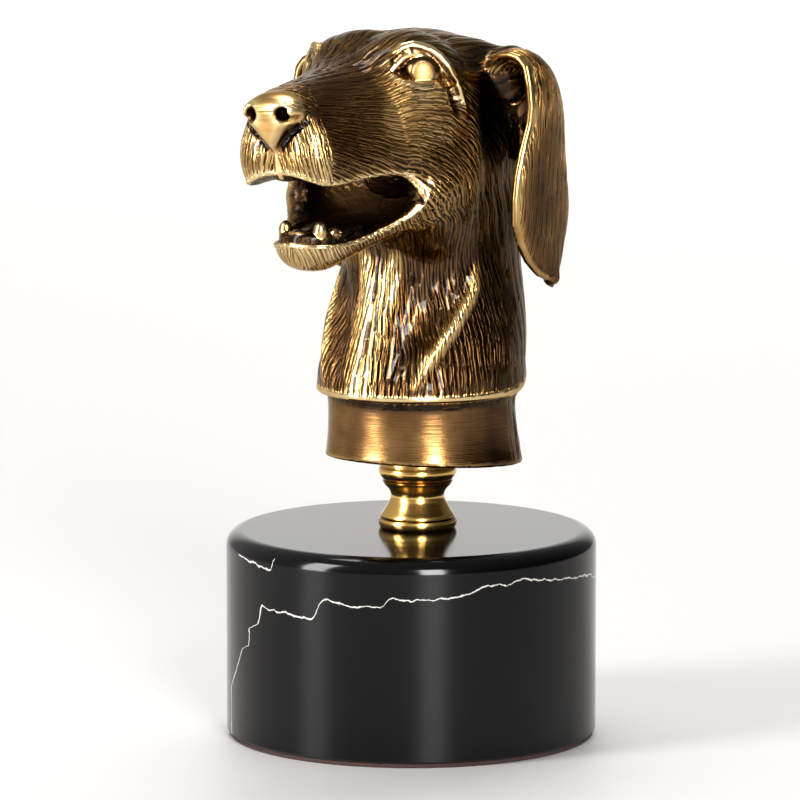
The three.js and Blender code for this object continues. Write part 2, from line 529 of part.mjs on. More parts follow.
// Merges vertices across short and flat edges until few triangles are left, so that they gather where the form turns.
function simplify({ positions, triangles }, wanted) {
  const count = positions.length / 3;
  const quadrics = new Float64Array(count * 10);
  const around = Array.from({ length: count }, () => new Set());
  const version = new Uint32Array(count);
  const point = (v) => [positions[3 * v], positions[3 * v + 1], positions[3 * v + 2]];
  const normal = (p, q, r) => {
    const u = [q[0] - p[0], q[1] - p[1], q[2] - p[2]];
    const w = [r[0] - p[0], r[1] - p[1], r[2] - p[2]];
    return [u[1] * w[2] - u[2] * w[1], u[2] * w[0] - u[0] * w[2], u[0] * w[1] - u[1] * w[0]];
  };
  triangles.forEach((tri, t) => {
    const n = normal(...tri.map(point));
    const size = Math.hypot(...n);
    if (size > 0) {
      const [a, b, c] = n.map((e) => e / size);
      const p = point(tri[0]);
      const d = -(a * p[0] + b * p[1] + c * p[2]);
      const terms = [a * a, a * b, a * c, a * d, b * b, b * c, b * d, c * c, c * d, d * d];
      for (const v of tri) terms.forEach((term, k) => (quadrics[10 * v + k] += term * size));
    }
    for (const v of tri) around[v].add(t);
  });
  const error = (q, [x, y, z]) =>
    q[0] * x * x + 2 * q[1] * x * y + 2 * q[2] * x * z + 2 * q[3] * x + q[4] * y * y +
    2 * q[5] * y * z + 2 * q[6] * y + q[7] * z * z + 2 * q[8] * z + q[9];
  const best = (a, b) => {
    const q = Array.from({ length: 10 }, (_, k) => quadrics[10 * a + k] + quadrics[10 * b + k]);
    const [pa, pb] = [point(a), point(b)];
    const choices = [pa, pb, pa.map((v, k) => (v + pb[k]) / 2)];
    const det =
      q[0] * (q[4] * q[7] - q[5] * q[5]) - q[1] * (q[1] * q[7] - q[5] * q[2]) + q[2] * (q[1] * q[5] - q[4] * q[2]);
    if (Math.abs(det) > 1e-4) {
      const [rx, ry, rz] = [-q[3], -q[6], -q[8]];
      choices.push([
        (rx * (q[4] * q[7] - q[5] * q[5]) - q[1] * (ry * q[7] - q[5] * rz) + q[2] * (ry * q[5] - q[4] * rz)) / det,
        (q[0] * (ry * q[7] - q[5] * rz) - rx * (q[1] * q[7] - q[5] * q[2]) + q[2] * (q[1] * rz - ry * q[2])) / det,
        (q[0] * (q[4] * rz - ry * q[5]) - q[1] * (q[1] * rz - ry * q[2]) + rx * (q[1] * q[5] - q[4] * q[2])) / det,
      ]);
    }
    const length = Math.hypot(pa[0] - pb[0], pa[1] - pb[1], pa[2] - pb[2]);
    const near = choices.filter((p) => Math.hypot(p[0] - pa[0], p[1] - pa[1], p[2] - pa[2]) < 3 * length + 1e-6);
    const costs = near.map((p) => error(q, p));
    const least = costs.indexOf(Math.min(...costs));
    return { cost: costs[least] + 1e-4 * length * length, to: near[least] };
  };
  const heap = new Heap();
  const offer = (a, b) => heap.push({ a, b, va: version[a], vb: version[b], ...best(a, b) });
  for (const [a, b, c] of triangles) {
    if (a < b) offer(a, b);
    if (b < c) offer(b, c);
    if (c < a) offer(c, a);
  }
  const neighbours = (v) => new Set([...around[v]].flatMap((t) => triangles[t]).filter((w) => w !== v));
  const folds = (v, other, to) =>
    [...around[v]].some((t) => {
      const tri = triangles[t];
      if (tri.includes(other)) return false;
      const before = normal(...tri.map(point));
      const after = normal(...tri.map((w) => (w === v ? to : point(w))));
      const dot = before[0] * after[0] + before[1] * after[1] + before[2] * after[2];
      return dot < 0.25 * Math.hypot(...before) * Math.hypot(...after) || Math.hypot(...after) < 1e-5;
    });
  let left = triangles.length;
  while (left > wanted && heap.items.length) {
    const { a, b, va, vb, to } = heap.pop();
    if (version[a] !== va || version[b] !== vb || !around[a].size || !around[b].size) continue;
    const near = neighbours(b);
    const shared = [...neighbours(a)].filter((v) => near.has(v));
    if (shared.length !== 2 || folds(a, b, to) || folds(b, a, to)) continue;
    to.forEach((v, k) => (positions[3 * a + k] = v));
    for (let k = 0; k < 10; k += 1) quadrics[10 * a + k] += quadrics[10 * b + k];
    for (const t of around[b]) {
      if (triangles[t].includes(a)) {
        for (const v of triangles[t]) if (v !== b) around[v].delete(t);
        triangles[t] = null;
        left -= 1;
      } else {
        triangles[t] = triangles[t].map((v) => (v === b ? a : v));
        around[a].add(t);
      }
    }
    around[b] = new Set();
    version[a] += 1;
    version[b] += 1;
    for (const v of neighbours(a)) offer(a, v);
  }
  return { positions, triangles: triangles.filter(Boolean) };
}

// Between three.js geometries and closed solids.
const wasm = await Module();
wasm.setup();

function solidOf(geometry) {
  const bare = new THREE.BufferGeometry();
  bare.setAttribute("position", geometry.getAttribute("position"));
  bare.setIndex(geometry.getIndex());
  const merged = mergeVertices(bare, 1e-4);
  const vertProperties = new Float32Array(merged.getAttribute("position").array);
  const triVerts = new Uint32Array(merged.getIndex().array);
  return new wasm.Manifold(new wasm.Mesh({ numProp: 3, vertProperties, triVerts }));
}

function geometryOf(solid) {
  const mesh = solid.getMesh();
  const geometry = new THREE.BufferGeometry();
  geometry.setAttribute("position", new THREE.BufferAttribute(new Float32Array(mesh.vertProperties), 3));
  geometry.setIndex(new THREE.BufferAttribute(new Uint32Array(mesh.triVerts), 1));
  geometry.computeVertexNormals();
  return geometry;
}

// A turned shape from [radius, height] pairs that start and end on the axis, turned about Z.
function turned(pairs, steps = ROUND_STEPS) {
  const points = pairs.map(([radius, height]) => new THREE.Vector2(radius, height));
  return new THREE.LatheGeometry(points, steps).rotateX(Math.PI / 2);
}

// The cast head: the form's surface, its foot cut at a slight lean, with a level seat for the stem's top.
function headGeometry() {
  const low = [-40, -62, -6];
  const high = [40, 36, 106];
  const { positions, triangles } = simplify(surface(headForm, low, high, FORM_CELL), HEAD_TRIANGLES);
  const raw = new THREE.BufferGeometry();
  raw.setAttribute("position", new THREE.Float32BufferAttribute(positions, 3));
  raw.setIndex(triangles.flat());
  raw.scale(headUnit, headUnit, headUnit);
  const block = new THREE.BoxGeometry(4 * BASE_RADIUS, 4 * BASE_RADIUS, BASE_RADIUS);
  block.translate(0, 0, -BASE_RADIUS / 2);
  block.rotateX(-HEAD_LEAN);
  block.translate(0, neckBack(0) * headUnit, Math.tan(HEAD_LEAN) * collarRadius(0) * headUnit - 0.4);
  const seat = turned([[0, -SEAT_DEPTH], [seatRadius, -SEAT_DEPTH], [seatRadius, SEAT_DEPTH], [0, SEAT_DEPTH]]);
  seat.translate(0, STEM_SETBACK, 0);
  return geometryOf(solidOf(raw).subtract(solidOf(block)).subtract(solidOf(seat)));
}

// The stem: a spool with a waist between two beads, each set off by a fine ring.
function stemGeometry() {
  const bead = STEM_RADIUS;
  const waist = STEM_WAIST_RADIUS;
  return turned(
    [
      [0, 0],
      [bead - 0.7, 0],
      [bead - 0.1, 1],
      [bead - 0.1, 2.2],
      [bead - 0.8, 3],
      [bead - 1.25, 4],
      [bead - 2.05, 5.4],
      [waist + 0.1, 6.7],
      [waist, 7.8],
      [waist + 0.45, 8.85],
      [waist + 1.2, 9.7],
      [bead - 0.95, 10.6],
      [bead - 1.2, 11.1],
      [bead - 0.35, 12],
      [bead - 0.05, 13],
      [bead - 0.5, STEM_SHOWN],
      [bead - 0.5, stemHeight],
      [0, stemHeight],
    ],
    STEM_STEPS,
  );
}

// The marble base: a drum with a rounded top edge and a fine chamfer at its foot.
function baseGeometry() {
  const edge = Array.from({ length: 6 }, (_, i) => {
    const turn = (i / 5) * (Math.PI / 2);
    return [
      BASE_RADIUS - BASE_EDGE_RADIUS * (1 - Math.cos(turn)),
      BASE_HEIGHT - BASE_EDGE_RADIUS * (1 - Math.sin(turn)),
    ];
  });
  return turned([
    [0, 0],
    [BASE_RADIUS - BASE_FOOT_CHAMFER, 0],
    [BASE_RADIUS, BASE_FOOT_CHAMFER],
    ...edge,
    [0, BASE_HEIGHT],
  ]);
}

function padGeometry() {
  const radius = BASE_RADIUS - PAD_INSET;
  return turned([[0, 0], [radius, 0], [radius, PAD_THICKNESS], [0, PAD_THICKNESS]]);
}

const bronze = new THREE.MeshStandardMaterial({ color: 0x7a5a2e, roughness: 0.35, metalness: 1 });
const brass = new THREE.MeshStandardMaterial({ color: 0xb58a45, roughness: 0.28, metalness: 1 });
const marble = new THREE.MeshStandardMaterial({ color: 0x0d0c0d, roughness: 0.08, metalness: 0 });
const felt = new THREE.MeshStandardMaterial({ color: 0x1c1413, roughness: 0.95, metalness: 0 });

function piece(name, geometry, material, y, z) {
  const mesh = new THREE.Mesh(geometry, material);
  mesh.name = name;
  mesh.position.set(0, y, z);
  return mesh;
}

const figure = new THREE.Group();
figure.add(
  piece("base_pad", padGeometry(), felt, 0, 0),
  piece("marble_base", baseGeometry(), marble, 0, PAD_THICKNESS),
  piece("brass_stem", stemGeometry(), brass, STEM_SETBACK, stoneTop),
  piece("dog_head", headGeometry(), bronze, 0, headLevel),
);

export default figure;
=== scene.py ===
# %% [markdown]
# # A zodiac dog in bronze, brass and marble
# A cast hound's head stands on a turned brass stem and a round block of polished black marble.
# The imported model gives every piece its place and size, and this script gives it fine shape and surface.
# Each step first says what the piece is on the real object, then makes it and prints what it made.

# %% The frame
import math

import bmesh
import bpy
import numpy as np
from mathutils import Matrix, Vector


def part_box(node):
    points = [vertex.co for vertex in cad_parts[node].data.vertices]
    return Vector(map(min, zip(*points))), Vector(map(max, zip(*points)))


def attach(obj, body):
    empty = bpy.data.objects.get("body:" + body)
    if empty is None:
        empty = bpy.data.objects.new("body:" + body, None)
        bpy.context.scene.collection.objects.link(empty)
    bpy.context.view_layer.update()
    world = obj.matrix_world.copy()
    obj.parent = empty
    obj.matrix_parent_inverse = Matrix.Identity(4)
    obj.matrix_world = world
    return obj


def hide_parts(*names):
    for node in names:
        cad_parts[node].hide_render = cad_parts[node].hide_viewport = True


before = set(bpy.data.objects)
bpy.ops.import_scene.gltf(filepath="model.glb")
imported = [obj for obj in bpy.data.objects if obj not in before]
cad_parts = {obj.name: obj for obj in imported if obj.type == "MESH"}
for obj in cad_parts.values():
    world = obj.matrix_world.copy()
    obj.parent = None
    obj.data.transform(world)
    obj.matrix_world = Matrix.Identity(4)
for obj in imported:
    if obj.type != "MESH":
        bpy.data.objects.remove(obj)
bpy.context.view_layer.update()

MM = 0.001
print("nodes", sorted(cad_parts))

# %% [markdown]
# ## Sizes
# The frame's own boxes say where the pieces meet, so nothing has to be measured twice.
# The head's forms below are written in millimetres above the stem's shoulder, where its collar starts.

# %% Levels and sizes, in millimetres
SEAT_DEPTH = 1.8
stone_low, stone_high = (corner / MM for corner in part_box("marble_base"))
stem_low, stem_high = (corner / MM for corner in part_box("brass_stem"))
pad_low, pad_high = (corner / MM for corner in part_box("base_pad"))
STONE_RADIUS = stone_high.x
STONE_TOP = stone_high.z
STEM_SHOWN = stem_high.z - SEAT_DEPTH - STONE_TOP
STEM_BACK = (stem_low.y + stem_high.y) / 2
HEAD_LEVEL = STONE_TOP + STEM_SHOWN
print(f"stone {2 * STONE_RADIUS:.1f} wide, its top at {STONE_TOP:.1f}; head starts at {HEAD_LEVEL:.1f}")

# %% [markdown]
# ## Helpers for colours and nodes
# Colours are picked as sRGB hex values, because that is how a person reads them off a thing.
# Cycles works with linear light, so one function turns them.
# A material is a handful of nodes, and one function adds a node with its settings and its links.
# Every finish starts as a bare principled shader. What is the same all over is set on its own sockets.

# %% Colour and node helpers
def linear(hex_code):
    parts = [int(hex_code[i : i + 2], 16) / 255 for i in (1, 3, 5)]
    return tuple(p / 12.92 if p < 0.04045 else ((p + 0.055) / 1.055) ** 2.4 for p in parts) + (1.0,)


def add(tree, kind, links=None, **settings):
    node = tree.nodes.new(kind)
    for name, value in settings.items():
        setattr(node, name, value)
    for socket, value in (links or {}).items():
        if isinstance(value, bpy.types.NodeSocket):
            tree.links.new(value, node.inputs[socket])
        else:
            node.inputs[socket].default_value = value
    return node


def new_finish(name):
    finish = bpy.data.materials.new(name)
    finish.use_nodes = True
    tree = finish.node_tree
    tree.nodes.clear()
    shader = add(tree, "ShaderNodeBsdfPrincipled")
    add(tree, "ShaderNodeOutputMaterial", {"Surface": shader.outputs["BSDF"]})
    return finish, tree, shader


def tune(shader, values):
    for name, value in values.items():
        shader.inputs[name].default_value = value


print(f"a mid grey, #808080, is {linear('#808080')[0]:.3f} of white in light")

# %% [markdown]
# ## Soft forms
# A cast head has no edges to draw: it is clay that was pushed together, so its parts melt into each other.
# Such a shape is easiest to say as a function that is negative inside the clay and grows outside it.
# `blend` adds one lump to another with a soft joint, and `carve` presses a form out of the clay.
# A profile is a smooth curve through a few pairs, for widths and heights that change along the head.

# %% The clay's helpers
FAR = 40.0


def blend(a, b, width):
    near = np.maximum(width - np.abs(a - b), 0) / width
    return np.minimum(a, b) - near * near * width / 4


def carve(a, b, width):
    return -blend(-a, b, width)


def smooth01(t):
    t = np.clip(t, 0, 1)
    return t * t * (3 - 2 * t)


def profile(pairs):
    at = np.array([p[0] for p in pairs], float)
    value = np.array([p[1] for p in pairs], float)
    slope = np.zeros(len(at))
    slope[1:-1] = (value[2:] - value[:-2]) / (at[2:] - at[:-2])

    def curve(t):
        i = np.clip(np.searchsorted(at, t) - 1, 0, len(at) - 2)
        span = at[i + 1] - at[i]
        s = np.clip((t - at[i]) / span, 0, 1)
        rise = s * s * (3 - 2 * s)
        bow = s * (1 - s) * span
        return value[i] * (1 - rise) + value[i + 1] * rise + bow * (slope[i] * (1 - s) - slope[i + 1] * s)

    return curve


joint = -blend(np.zeros(1), np.zeros(1), 6.0)[0]
print(f"where two lumps meet, a joint 6 mm wide adds {joint:.1f} mm of clay")

# %% [markdown]
# Most lumps are eggs, and a long fold is a strand: a chain of cones with round ends.
# Either could be tested at every point of the head, but it only matters near itself.
# So each is worked out for the points close to it, and is simply far away for all others.

# %% Eggs and strands
def only_where(test, shape, x, y, z):
    out = np.full(len(x), FAR)
    if test.any():
        out[test] = shape(x[test], y[test], z[test])
    return out


def egg(centre, radii, pitch=0.0, yaw=0.0):
    cx, cy, cz = centre
    rx, ry, rz = radii
    reach = max(radii) + 12

    def shape(x, y, z):
        dx, dy, dz = x - cx, y - cy, z - cz
        dx, dy = dx * math.cos(yaw) + dy * math.sin(yaw), dy * math.cos(yaw) - dx * math.sin(yaw)
        dy, dz = dy * math.cos(pitch) + dz * math.sin(pitch), dz * math.cos(pitch) - dy * math.sin(pitch)
        near = np.sqrt((dx / rx) ** 2 + (dy / ry) ** 2 + (dz / rz) ** 2)
        slope = np.sqrt((dx / rx**2) ** 2 + (dy / ry**2) ** 2 + (dz / rz**2) ** 2)
        return near * (near - 1) / np.maximum(slope, 1e-6)

    def form(x, y, z):
        close = (x - cx) ** 2 + (y - cy) ** 2 + (z - cz) ** 2 < reach**2
        return only_where(close, shape, x, y, z)

    return form


def strand(points):
    points = np.array(points, float)
    low = (points[:, :3] - points[:, 3:]).min(0) - 6
    high = (points[:, :3] + points[:, 3:]).max(0) + 6

    def shape(x, y, z):
        best = np.full(len(x), FAR)
        for a, b in zip(points, points[1:]):
            ex, ey, ez = (b - a)[:3]
            along = (x - a[0]) * ex + (y - a[1]) * ey + (z - a[2]) * ez
            t = np.clip(along / (ex * ex + ey * ey + ez * ez), 0, 1)
            away = np.sqrt((x - a[0] - ex * t) ** 2 + (y - a[1] - ey * t) ** 2 + (z - a[2] - ez * t) ** 2)
            best = np.minimum(best, away - a[3] - (b[3] - a[3]) * t)
        return best

    def form(x, y, z):
        inside = (x >= low[0]) & (y >= low[1]) & (z >= low[2])
        inside = inside & (x <= high[0]) & (y <= high[1]) & (z <= high[2])
        return only_where(inside, shape, x, y, z)

    return form


ball = egg([0, 0, 0], [5, 5, 5])
print(f"2 mm from a ball of 5 mm: {ball(np.array([7.0]), np.zeros(1), np.zeros(1))[0]:.1f} mm")

# %% [markdown]
# ## The hound's head in clay
# Every figure is in hundredths of the head's height, which are millimetres here.
# x goes to the dog's left, y to its back and z up.
# The neck is a stack of rounds, and the collar and the mane are rounds about the same middle line.
# The folds of skin are long thin strands laid on the neck, as a modeller rolls clay between the fingers.
# The last one fills the middle of the throat, between the two folds beside it.

# %% Neck, collar and mane
neck_back = profile([[0, 4.8], [16, 4], [22, 4.2], [30, 6.2], [40, 8], [50, 8], [60, 6.4], [75, 5]])
neck_radius = profile(
    [[18, 23.6], [22, 23.5], [30, 22.6], [40, 20.9], [50, 19.8], [60, 19.6],
     [68, 18], [76, 13], [84, 0], [92, -14]]
)
collar_radius = profile([[-6, 23.3], [0, 22.6], [5, 21.8], [11, 21.3], [15, 21.3], [20, 21.8]])
mane_radius = profile([[-6, 23], [0, 22.3], [8, 21.4], [14, 21], [18, 21.8], [22, 21.6], [26, 19]])
NECK_DEEP = 1.05
NECK_SLIM = 0.975
FUR_EDGE = 17.4
FUR_RISE = 3.0
MANE_STRANDS = 11
MANE_EDGE = 1.3
HEM_ROLL = 0.75
FOLD_MELT = 1.6


def neck(x, y, z):
    return np.hypot(x / NECK_SLIM, (y - neck_back(z)) / NECK_DEEP) - neck_radius(z)


def collar(x, y, z):
    return np.maximum(np.hypot(x, y - neck_back(z)) - collar_radius(z), z - FUR_EDGE - 3)


def mane(x, y, z):
    around = np.arctan2(np.abs(x), y - neck_back(z))
    wave = 0.3 * np.cos(around * MANE_STRANDS * 2)
    fade = 2.6 * np.clip((around - MANE_EDGE) / 0.35, 0, 1)
    radius = mane_radius(z) + wave - fade
    return np.maximum(np.hypot(x, y - neck_back(z)) - radius, z - FUR_EDGE - 6)


def fur_edge(y):
    return FUR_EDGE + FUR_RISE * np.clip((y - 8) / 16, 0, 1)


neck_folds = [
    strand(
        [[17.2, 1, 49, 0.4], [17.9, -2, 41, 1.2], [16.4, -8.2, 33, 1.4], [14.2, -12.8, 27, 1.4],
         [11.8, -16.2, 20.5, 0.9]]
    ),
    strand(
        [[4.4, -11.2, 50, 0.6], [3, -12.3, 44, 1.4], [1.9, -14.2, 36, 1.7], [1.5, -16.4, 29, 1.7],
         [1.9, -19.6, 19, 1.5]]
    ),
    strand(
        [[0, -10.8, 53, 0.6], [0, -11.6, 47, 1.4], [0, -12.4, 41, 1.9], [0, -14.2, 34, 2.0],
         [0, -17.1, 24, 1.7]]
    ),
]
neck_valley = strand(
    [[13.8, -9.2, 44, 0.4], [12.4, -11.8, 39, 2.2], [10.2, -14.8, 33, 2.4], [7.6, -18.6, 23, -0.6]]
)
print(f"neck {2 * neck_radius(40.0):.0f} mm wide, coat's edge {FUR_EDGE} mm up, {len(neck_folds)} folds")

# %% [markdown]
# ## Skull, muzzle and jaw
# The skull is a few eggs: braincase, crown, temples, brows, cheeks and nape, with a furrow between the brows.

# %% Skull
SKULL_HALF = 22.3
skull = egg([0, 5.5, 78], [SKULL_HALF, 23.4, 20])
crown = egg([0, -3.4, 83.8], [19, 21, 15])
temple = egg([13, 7, 85.2], [9, 10, 10.6])
brow = egg([9.2, -11.6, 88.4], [9.8, 10.7, 10])
cheek = egg([11.5, -7, 66], [9.5, 14, 16])
cheekbone = egg([13.6, -12.4, 81.6], [5, 7.4, 6.5], 0.35, 0.35)
nape = egg([0, 12, 66], [18.5, 17, 26])
brow_furrow = strand([[0, -22, 98.6, 1.3], [0, -14, 100.8, 1.6], [0, -4, 102.8, 1.4]])

print(f"skull about {2 * SKULL_HALF:.0f} mm wide without the ears")

# %% [markdown]
# The muzzle and the jaw are bars with rounded square sections,
# whose top, foot and width change from the nose back.
# The mouth isn't modelled shut and opened: its gap is cut through both of them at the lip lines.

# %% Muzzle and jaw
muzzle_top = profile([[-56, 88.6], [-50, 89.8], [-40, 91.4], [-30, 93.2], [-20, 96.2], [-10, 98]])
muzzle_half = profile(
    [[-56, 10.2], [-50, 11], [-45, 11.6], [-40, 12.1], [-34, 13.1], [-28, 14.8], [-20, 18.3]]
)
lip_side = profile(
    [[-56, 69.2], [-50, 69], [-45, 68.7], [-40, 69], [-34, 69.4], [-28, 69.4], [-24.5, 68.7],
     [-22, 67.4], [-20.6, 65.6]]
)
lip_arch = profile([[-54, 2.6], [-48, 2.2], [-42, 0.6], [-38, 0]])
MUZZLE_TAPER = 0.22
MUZZLE_FRONT = -52.9
MUZZLE_RECEDE = 0.11
MUZZLE_BACK = -7
MUZZLE_SQUARE = 2.7
LIP_SPARE = 5


def bar(x, z, top, bottom, half_width, square, flare):
    middle = (top + bottom) / 2
    half = (top - bottom) / 2
    rise = (z - middle) / half
    wide = half_width * flare(rise)
    around = (np.abs(x) / wide) ** square + np.abs(rise) ** square
    return (around ** (1 / square) - 1) * np.minimum(wide, half)


def muzzle(x, y, z):
    def shape(x, y, z):
        body = bar(
            x, z, muzzle_top(y), lip_side(y) - LIP_SPARE, muzzle_half(y), MUZZLE_SQUARE,
            lambda rise: 1 - MUZZLE_TAPER * np.clip(rise, -1, 1.2),
        )
        front = MUZZLE_FRONT - y + MUZZLE_RECEDE * (88 - z)
        return carve(carve(body, -front, 5), MUZZLE_BACK - y, 6)

    return only_where((y <= 8) & (z >= 56), shape, x, y, z)


lip_pad = egg([5.6, -47.2, 75.3], [5.7, 5.2, 6.4])
philtrum = strand([[0, -53.2, 77.5, 0.5], [0, -53, 74, 0.7], [0, -51.8, 70.5, 1.1]])

jaw_half = profile(
    [[-48, 7.4], [-44, 7.6], [-40, 8.6], [-36, 10.3], [-32, 12.2], [-28, 14.5], [-24, 17.1], [-19, 19.6]]
)
jaw_top = profile([[-48, 55.4], [-42, 55.9], [-36, 56.7], [-30, 58.2], [-25, 59.9], [-20, 62.2], [-14, 66]])
jaw_under = profile([[-48, 49.8], [-44, 48.2], [-40, 48.4], [-34, 50.6], [-26, 53.6], [-18, 54.5], [-8, 52]])
JAW_SQUARE = 2.4
JAW_FRONT = -46.7
JAW_RECEDE = 0.42
JAW_BACK = -7


def jaw(x, y, z):
    def shape(x, y, z):
        body = bar(
            x, z, jaw_top(y) + LIP_SPARE, jaw_under(y), jaw_half(y), JAW_SQUARE,
            lambda rise: 1 + 0.06 * np.minimum(1, rise),
        )
        front = JAW_FRONT - y + JAW_RECEDE * (56 - z)
        return carve(carve(body, -front, 6), JAW_BACK - y, 6)

    return only_where((y <= 8) & (z <= 76), shape, x, y, z)


print(f"jaw {2 * jaw_half(-30.0):.0f} mm wide under a muzzle of {2 * muzzle_half(-30.0):.0f} mm")

# %% [markdown]
# The gap between the lips ends in a round corner. A thin roll of clay is laid along its edge as the lip.
# Inside, palate, gullet and the jaw's hollow are pressed out, and tongue, gum and a few teeth are put in.

# %% The open mouth
gap_foot = profile(
    [[-60, 55], [-44, 54.7], [-38.5, 54.9], [-34, 55.9], [-29.6, 57.6], [-26.6, 59.2],
     [-23, 61.3], [-20.8, 63.4]]
)
MOUTH_CORNER = -22.2
CORNER_ROUND = 4.4
LIP_ROLL = 0.45
LIP_SUNK = 0.35


def lip_line(x, y):
    return lip_side(y) + lip_arch(y) * np.maximum(0, 1 - (x / 10) ** 2)


def mouth_gap(x, y, z):
    def shape(x, y, z):
        along = np.minimum(y, MOUTH_CORNER - 0.4)
        return carve(np.maximum(z - lip_line(x, along), gap_foot(along) - z), MOUTH_CORNER - y, CORNER_ROUND)

    return only_where((y <= MOUTH_CORNER + 6) & (z >= 50) & (z <= 76), shape, x, y, z)


def lip_roll(skin, gap, y):
    return np.hypot(skin + LIP_SUNK, gap) - LIP_ROLL * np.clip((-17 - y) / 2, 0, 1) - 0.01


palate = egg([0, -30.5, 68.5], [9.8, 17.5, 6.4], -0.04)
gullet = egg([0, -20, 64.5], [13.5, 15, 7.5], 0.2)
jaw_hollow = egg([0, -29, 59.5], [9.3, 15.5, 4.6], 0.12)
tongue = egg([0, -30, 56.6], [6.8, 13, 3.4], 0.13)
gum = strand(
    [[0, -44.6, 56.2, 1.5], [3.2, -43.9, 56.2, 1.5], [5.2, -41.8, 56.3, 1.5], [6.6, -37.6, 56.8, 1.4],
     [7.6, -32, 57.8, 1.2]]
)
teeth = [
    egg([0, -44.4, 57.2], [2.6, 1.1, 1.2]),
    egg([4.7, -42.8, 58], [1.5, 1.4, 2.2]),
    egg([6.2, -39.8, 57.4], [1.2, 1.5, 1.4]),
]
upper_teeth = egg([0, -48.6, 71], [3.8, 2, 1.6])
print(f"mouth open {lip_side(-40.0) - gap_foot(-40.0):.1f} mm behind the front teeth")

# %% [markdown]
# ## Nose and eyes
# The nose leather is a rounded bar across the top, two wings round the nostrils,
# and a plate in front that narrows to a point between the lips.

# %% Nose
nose_top = egg([0, -51.3, 86], [6.8, 4.3, 3.5], 0.12)
nose_wing = egg([4.6, -51.9, 84.8], [2.7, 3.2, 2.7])
nose_crease = strand(
    [[8, -50.6, 82.6, 0.4], [6.2, -52.2, 81.4, 0.7], [4.2, -52.9, 80, 0.8], [2.6, -53, 78, 0.8],
     [1, -53, 76, 0.6]]
)
nose_half = profile([[75.6, 0.1], [78, 1.5], [80, 3], [82, 4.6], [84, 6], [87, 6.4]])
nose_face = profile([[75.6, -53.2], [78, -54.2], [82, -55.1], [86, -55.4], [90, -54.4]])
nostril = strand([[4, -57, 84.8, 1.3], [4.1, -53.6, 84.9, 1.6], [4.6, -51, 85.1, 0.9]])
nostril_tail = strand(
    [[4.4, -55.4, 84, 1.1], [6.3, -54.4, 83.4, 0.8], [7.8, -52.6, 84, 0.6], [9, -50.6, 84.6, 0.3]]
)


def nose_plate(x, y, z):
    def shape(x, y, z):
        side = (np.abs(x) - nose_half(z)) * 0.75
        return carve(carve(side, y - nose_face(z), 1.8), np.minimum(-y - 48, 87 - z), 1.5)

    return only_where((y <= -40) & (z >= 70) & (z <= 94), shape, x, y, z)


print(f"nose plate {2 * nose_half(84.0):.0f} mm wide above and {2 * nose_half(77.0):.0f} mm below")

# %% [markdown]
# Each eye is a ball with a flat iris in a hollow, under a thin lid and a heavier brow fold.
# Below it run a lower lid and a second small fold, and a hollow leads the tears away behind it.
# Lids and folds are strands of half a millimetre to a millimetre, with a groove cut between the upper two.

# %% Eyes
eye_socket = strand(
    [[11.4, -21.8, 91, 1.6], [13.4, -19.2, 92.4, 3.6], [15.4, -16.8, 91.9, 3.8], [18, -13.6, 90, 2.2],
     [20.2, -11.4, 86.6, 1.2], [21, -9.8, 83, 0.6]]
)
EYE = np.array([12.9, -14, 90.4])
EYE_RADIUS = 5.1
GAZE = np.array([0.67, -0.735, 0.08])
IRIS_RADIUS = 2.5
IRIS_RAISED = 0.25
eyeball = egg(EYE, [EYE_RADIUS, EYE_RADIUS, 4.9])
eye_scoop = egg([15.8, -18.9, 92.5], [5.2, 5.2, 3.5])


def iris(x, y, z):
    def shape(x, y, z):
        ahead = (x - EYE[0]) * GAZE[0] + (y - EYE[1]) * GAZE[1] + (z - EYE[2]) * GAZE[2]
        whole = (x - EYE[0]) ** 2 + (y - EYE[1]) ** 2 + (z - EYE[2]) ** 2
        aside = np.sqrt(np.maximum(whole - ahead**2, 0))
        disc = np.maximum(ahead - EYE_RADIUS + 0.07 * aside**2 - IRIS_RAISED, -ahead)
        return np.maximum(disc, aside - IRIS_RADIUS)

    return only_where((x > 5) & (y < -8) & (z > 84) & (z < 99), shape, x, y, z)


upper_lid = strand(
    [[9.1, -23, 89.6, 0.4], [11.1, -20.6, 92.5, 0.6], [12, -19.4, 94, 0.6], [13.2, -17.8, 94.8, 0.6],
     [14.3, -16.4, 94.8, 0.6], [15.5, -14.8, 94, 0.6], [16.9, -13.4, 92.4, 0.6], [18.4, -12.6, 90.8, 0.5],
     [19.4, -11.8, 88.6, 0.1], [19.8, -11.2, 86.6, -0.6]]
)
lower_lid = strand(
    [[12.6, -24.2, 89.4, 0.2], [14.1, -22.7, 88.8, 0.5], [15.5, -21.1, 88.3, 0.6], [16.7, -19.6, 87.9, 0.6],
     [17.6, -17.2, 87.8, 0.6], [17.9, -15, 88.2, 0.4]]
)
second_lid = strand(
    [[13.1, -23.9, 88.2, 0.2], [14.6, -22.8, 87.3, 0.5], [15.8, -21.6, 86.3, 0.6], [16.9, -19.9, 85.7, 0.6],
     [17.6, -18.6, 85.6, 0.2]]
)
tear_hollow = strand(
    [[18.6, -12.9, 87.6, 0.4], [19.2, -12.2, 86, 1.1], [19.8, -11.8, 84, 1.2], [20.5, -11, 81.3, 0.6]]
)
brow_fold = strand(
    [[8.6, -21.7, 92.3, 0.5], [10.5, -19.6, 95, 0.7], [11.7, -18.5, 96.6, 0.75], [13.4, -17.2, 97, 0.8],
     [14.6, -15.9, 96.6, 0.8], [16.1, -14.3, 95.7, 0.8], [18, -13.2, 94, 0.8], [19.3, -12.2, 91.8, 0.8],
     [20.5, -10.2, 87, 0.5], [20.6, -8.2, 82.5, -0.1], [20, -8, 78, -0.9]]
)
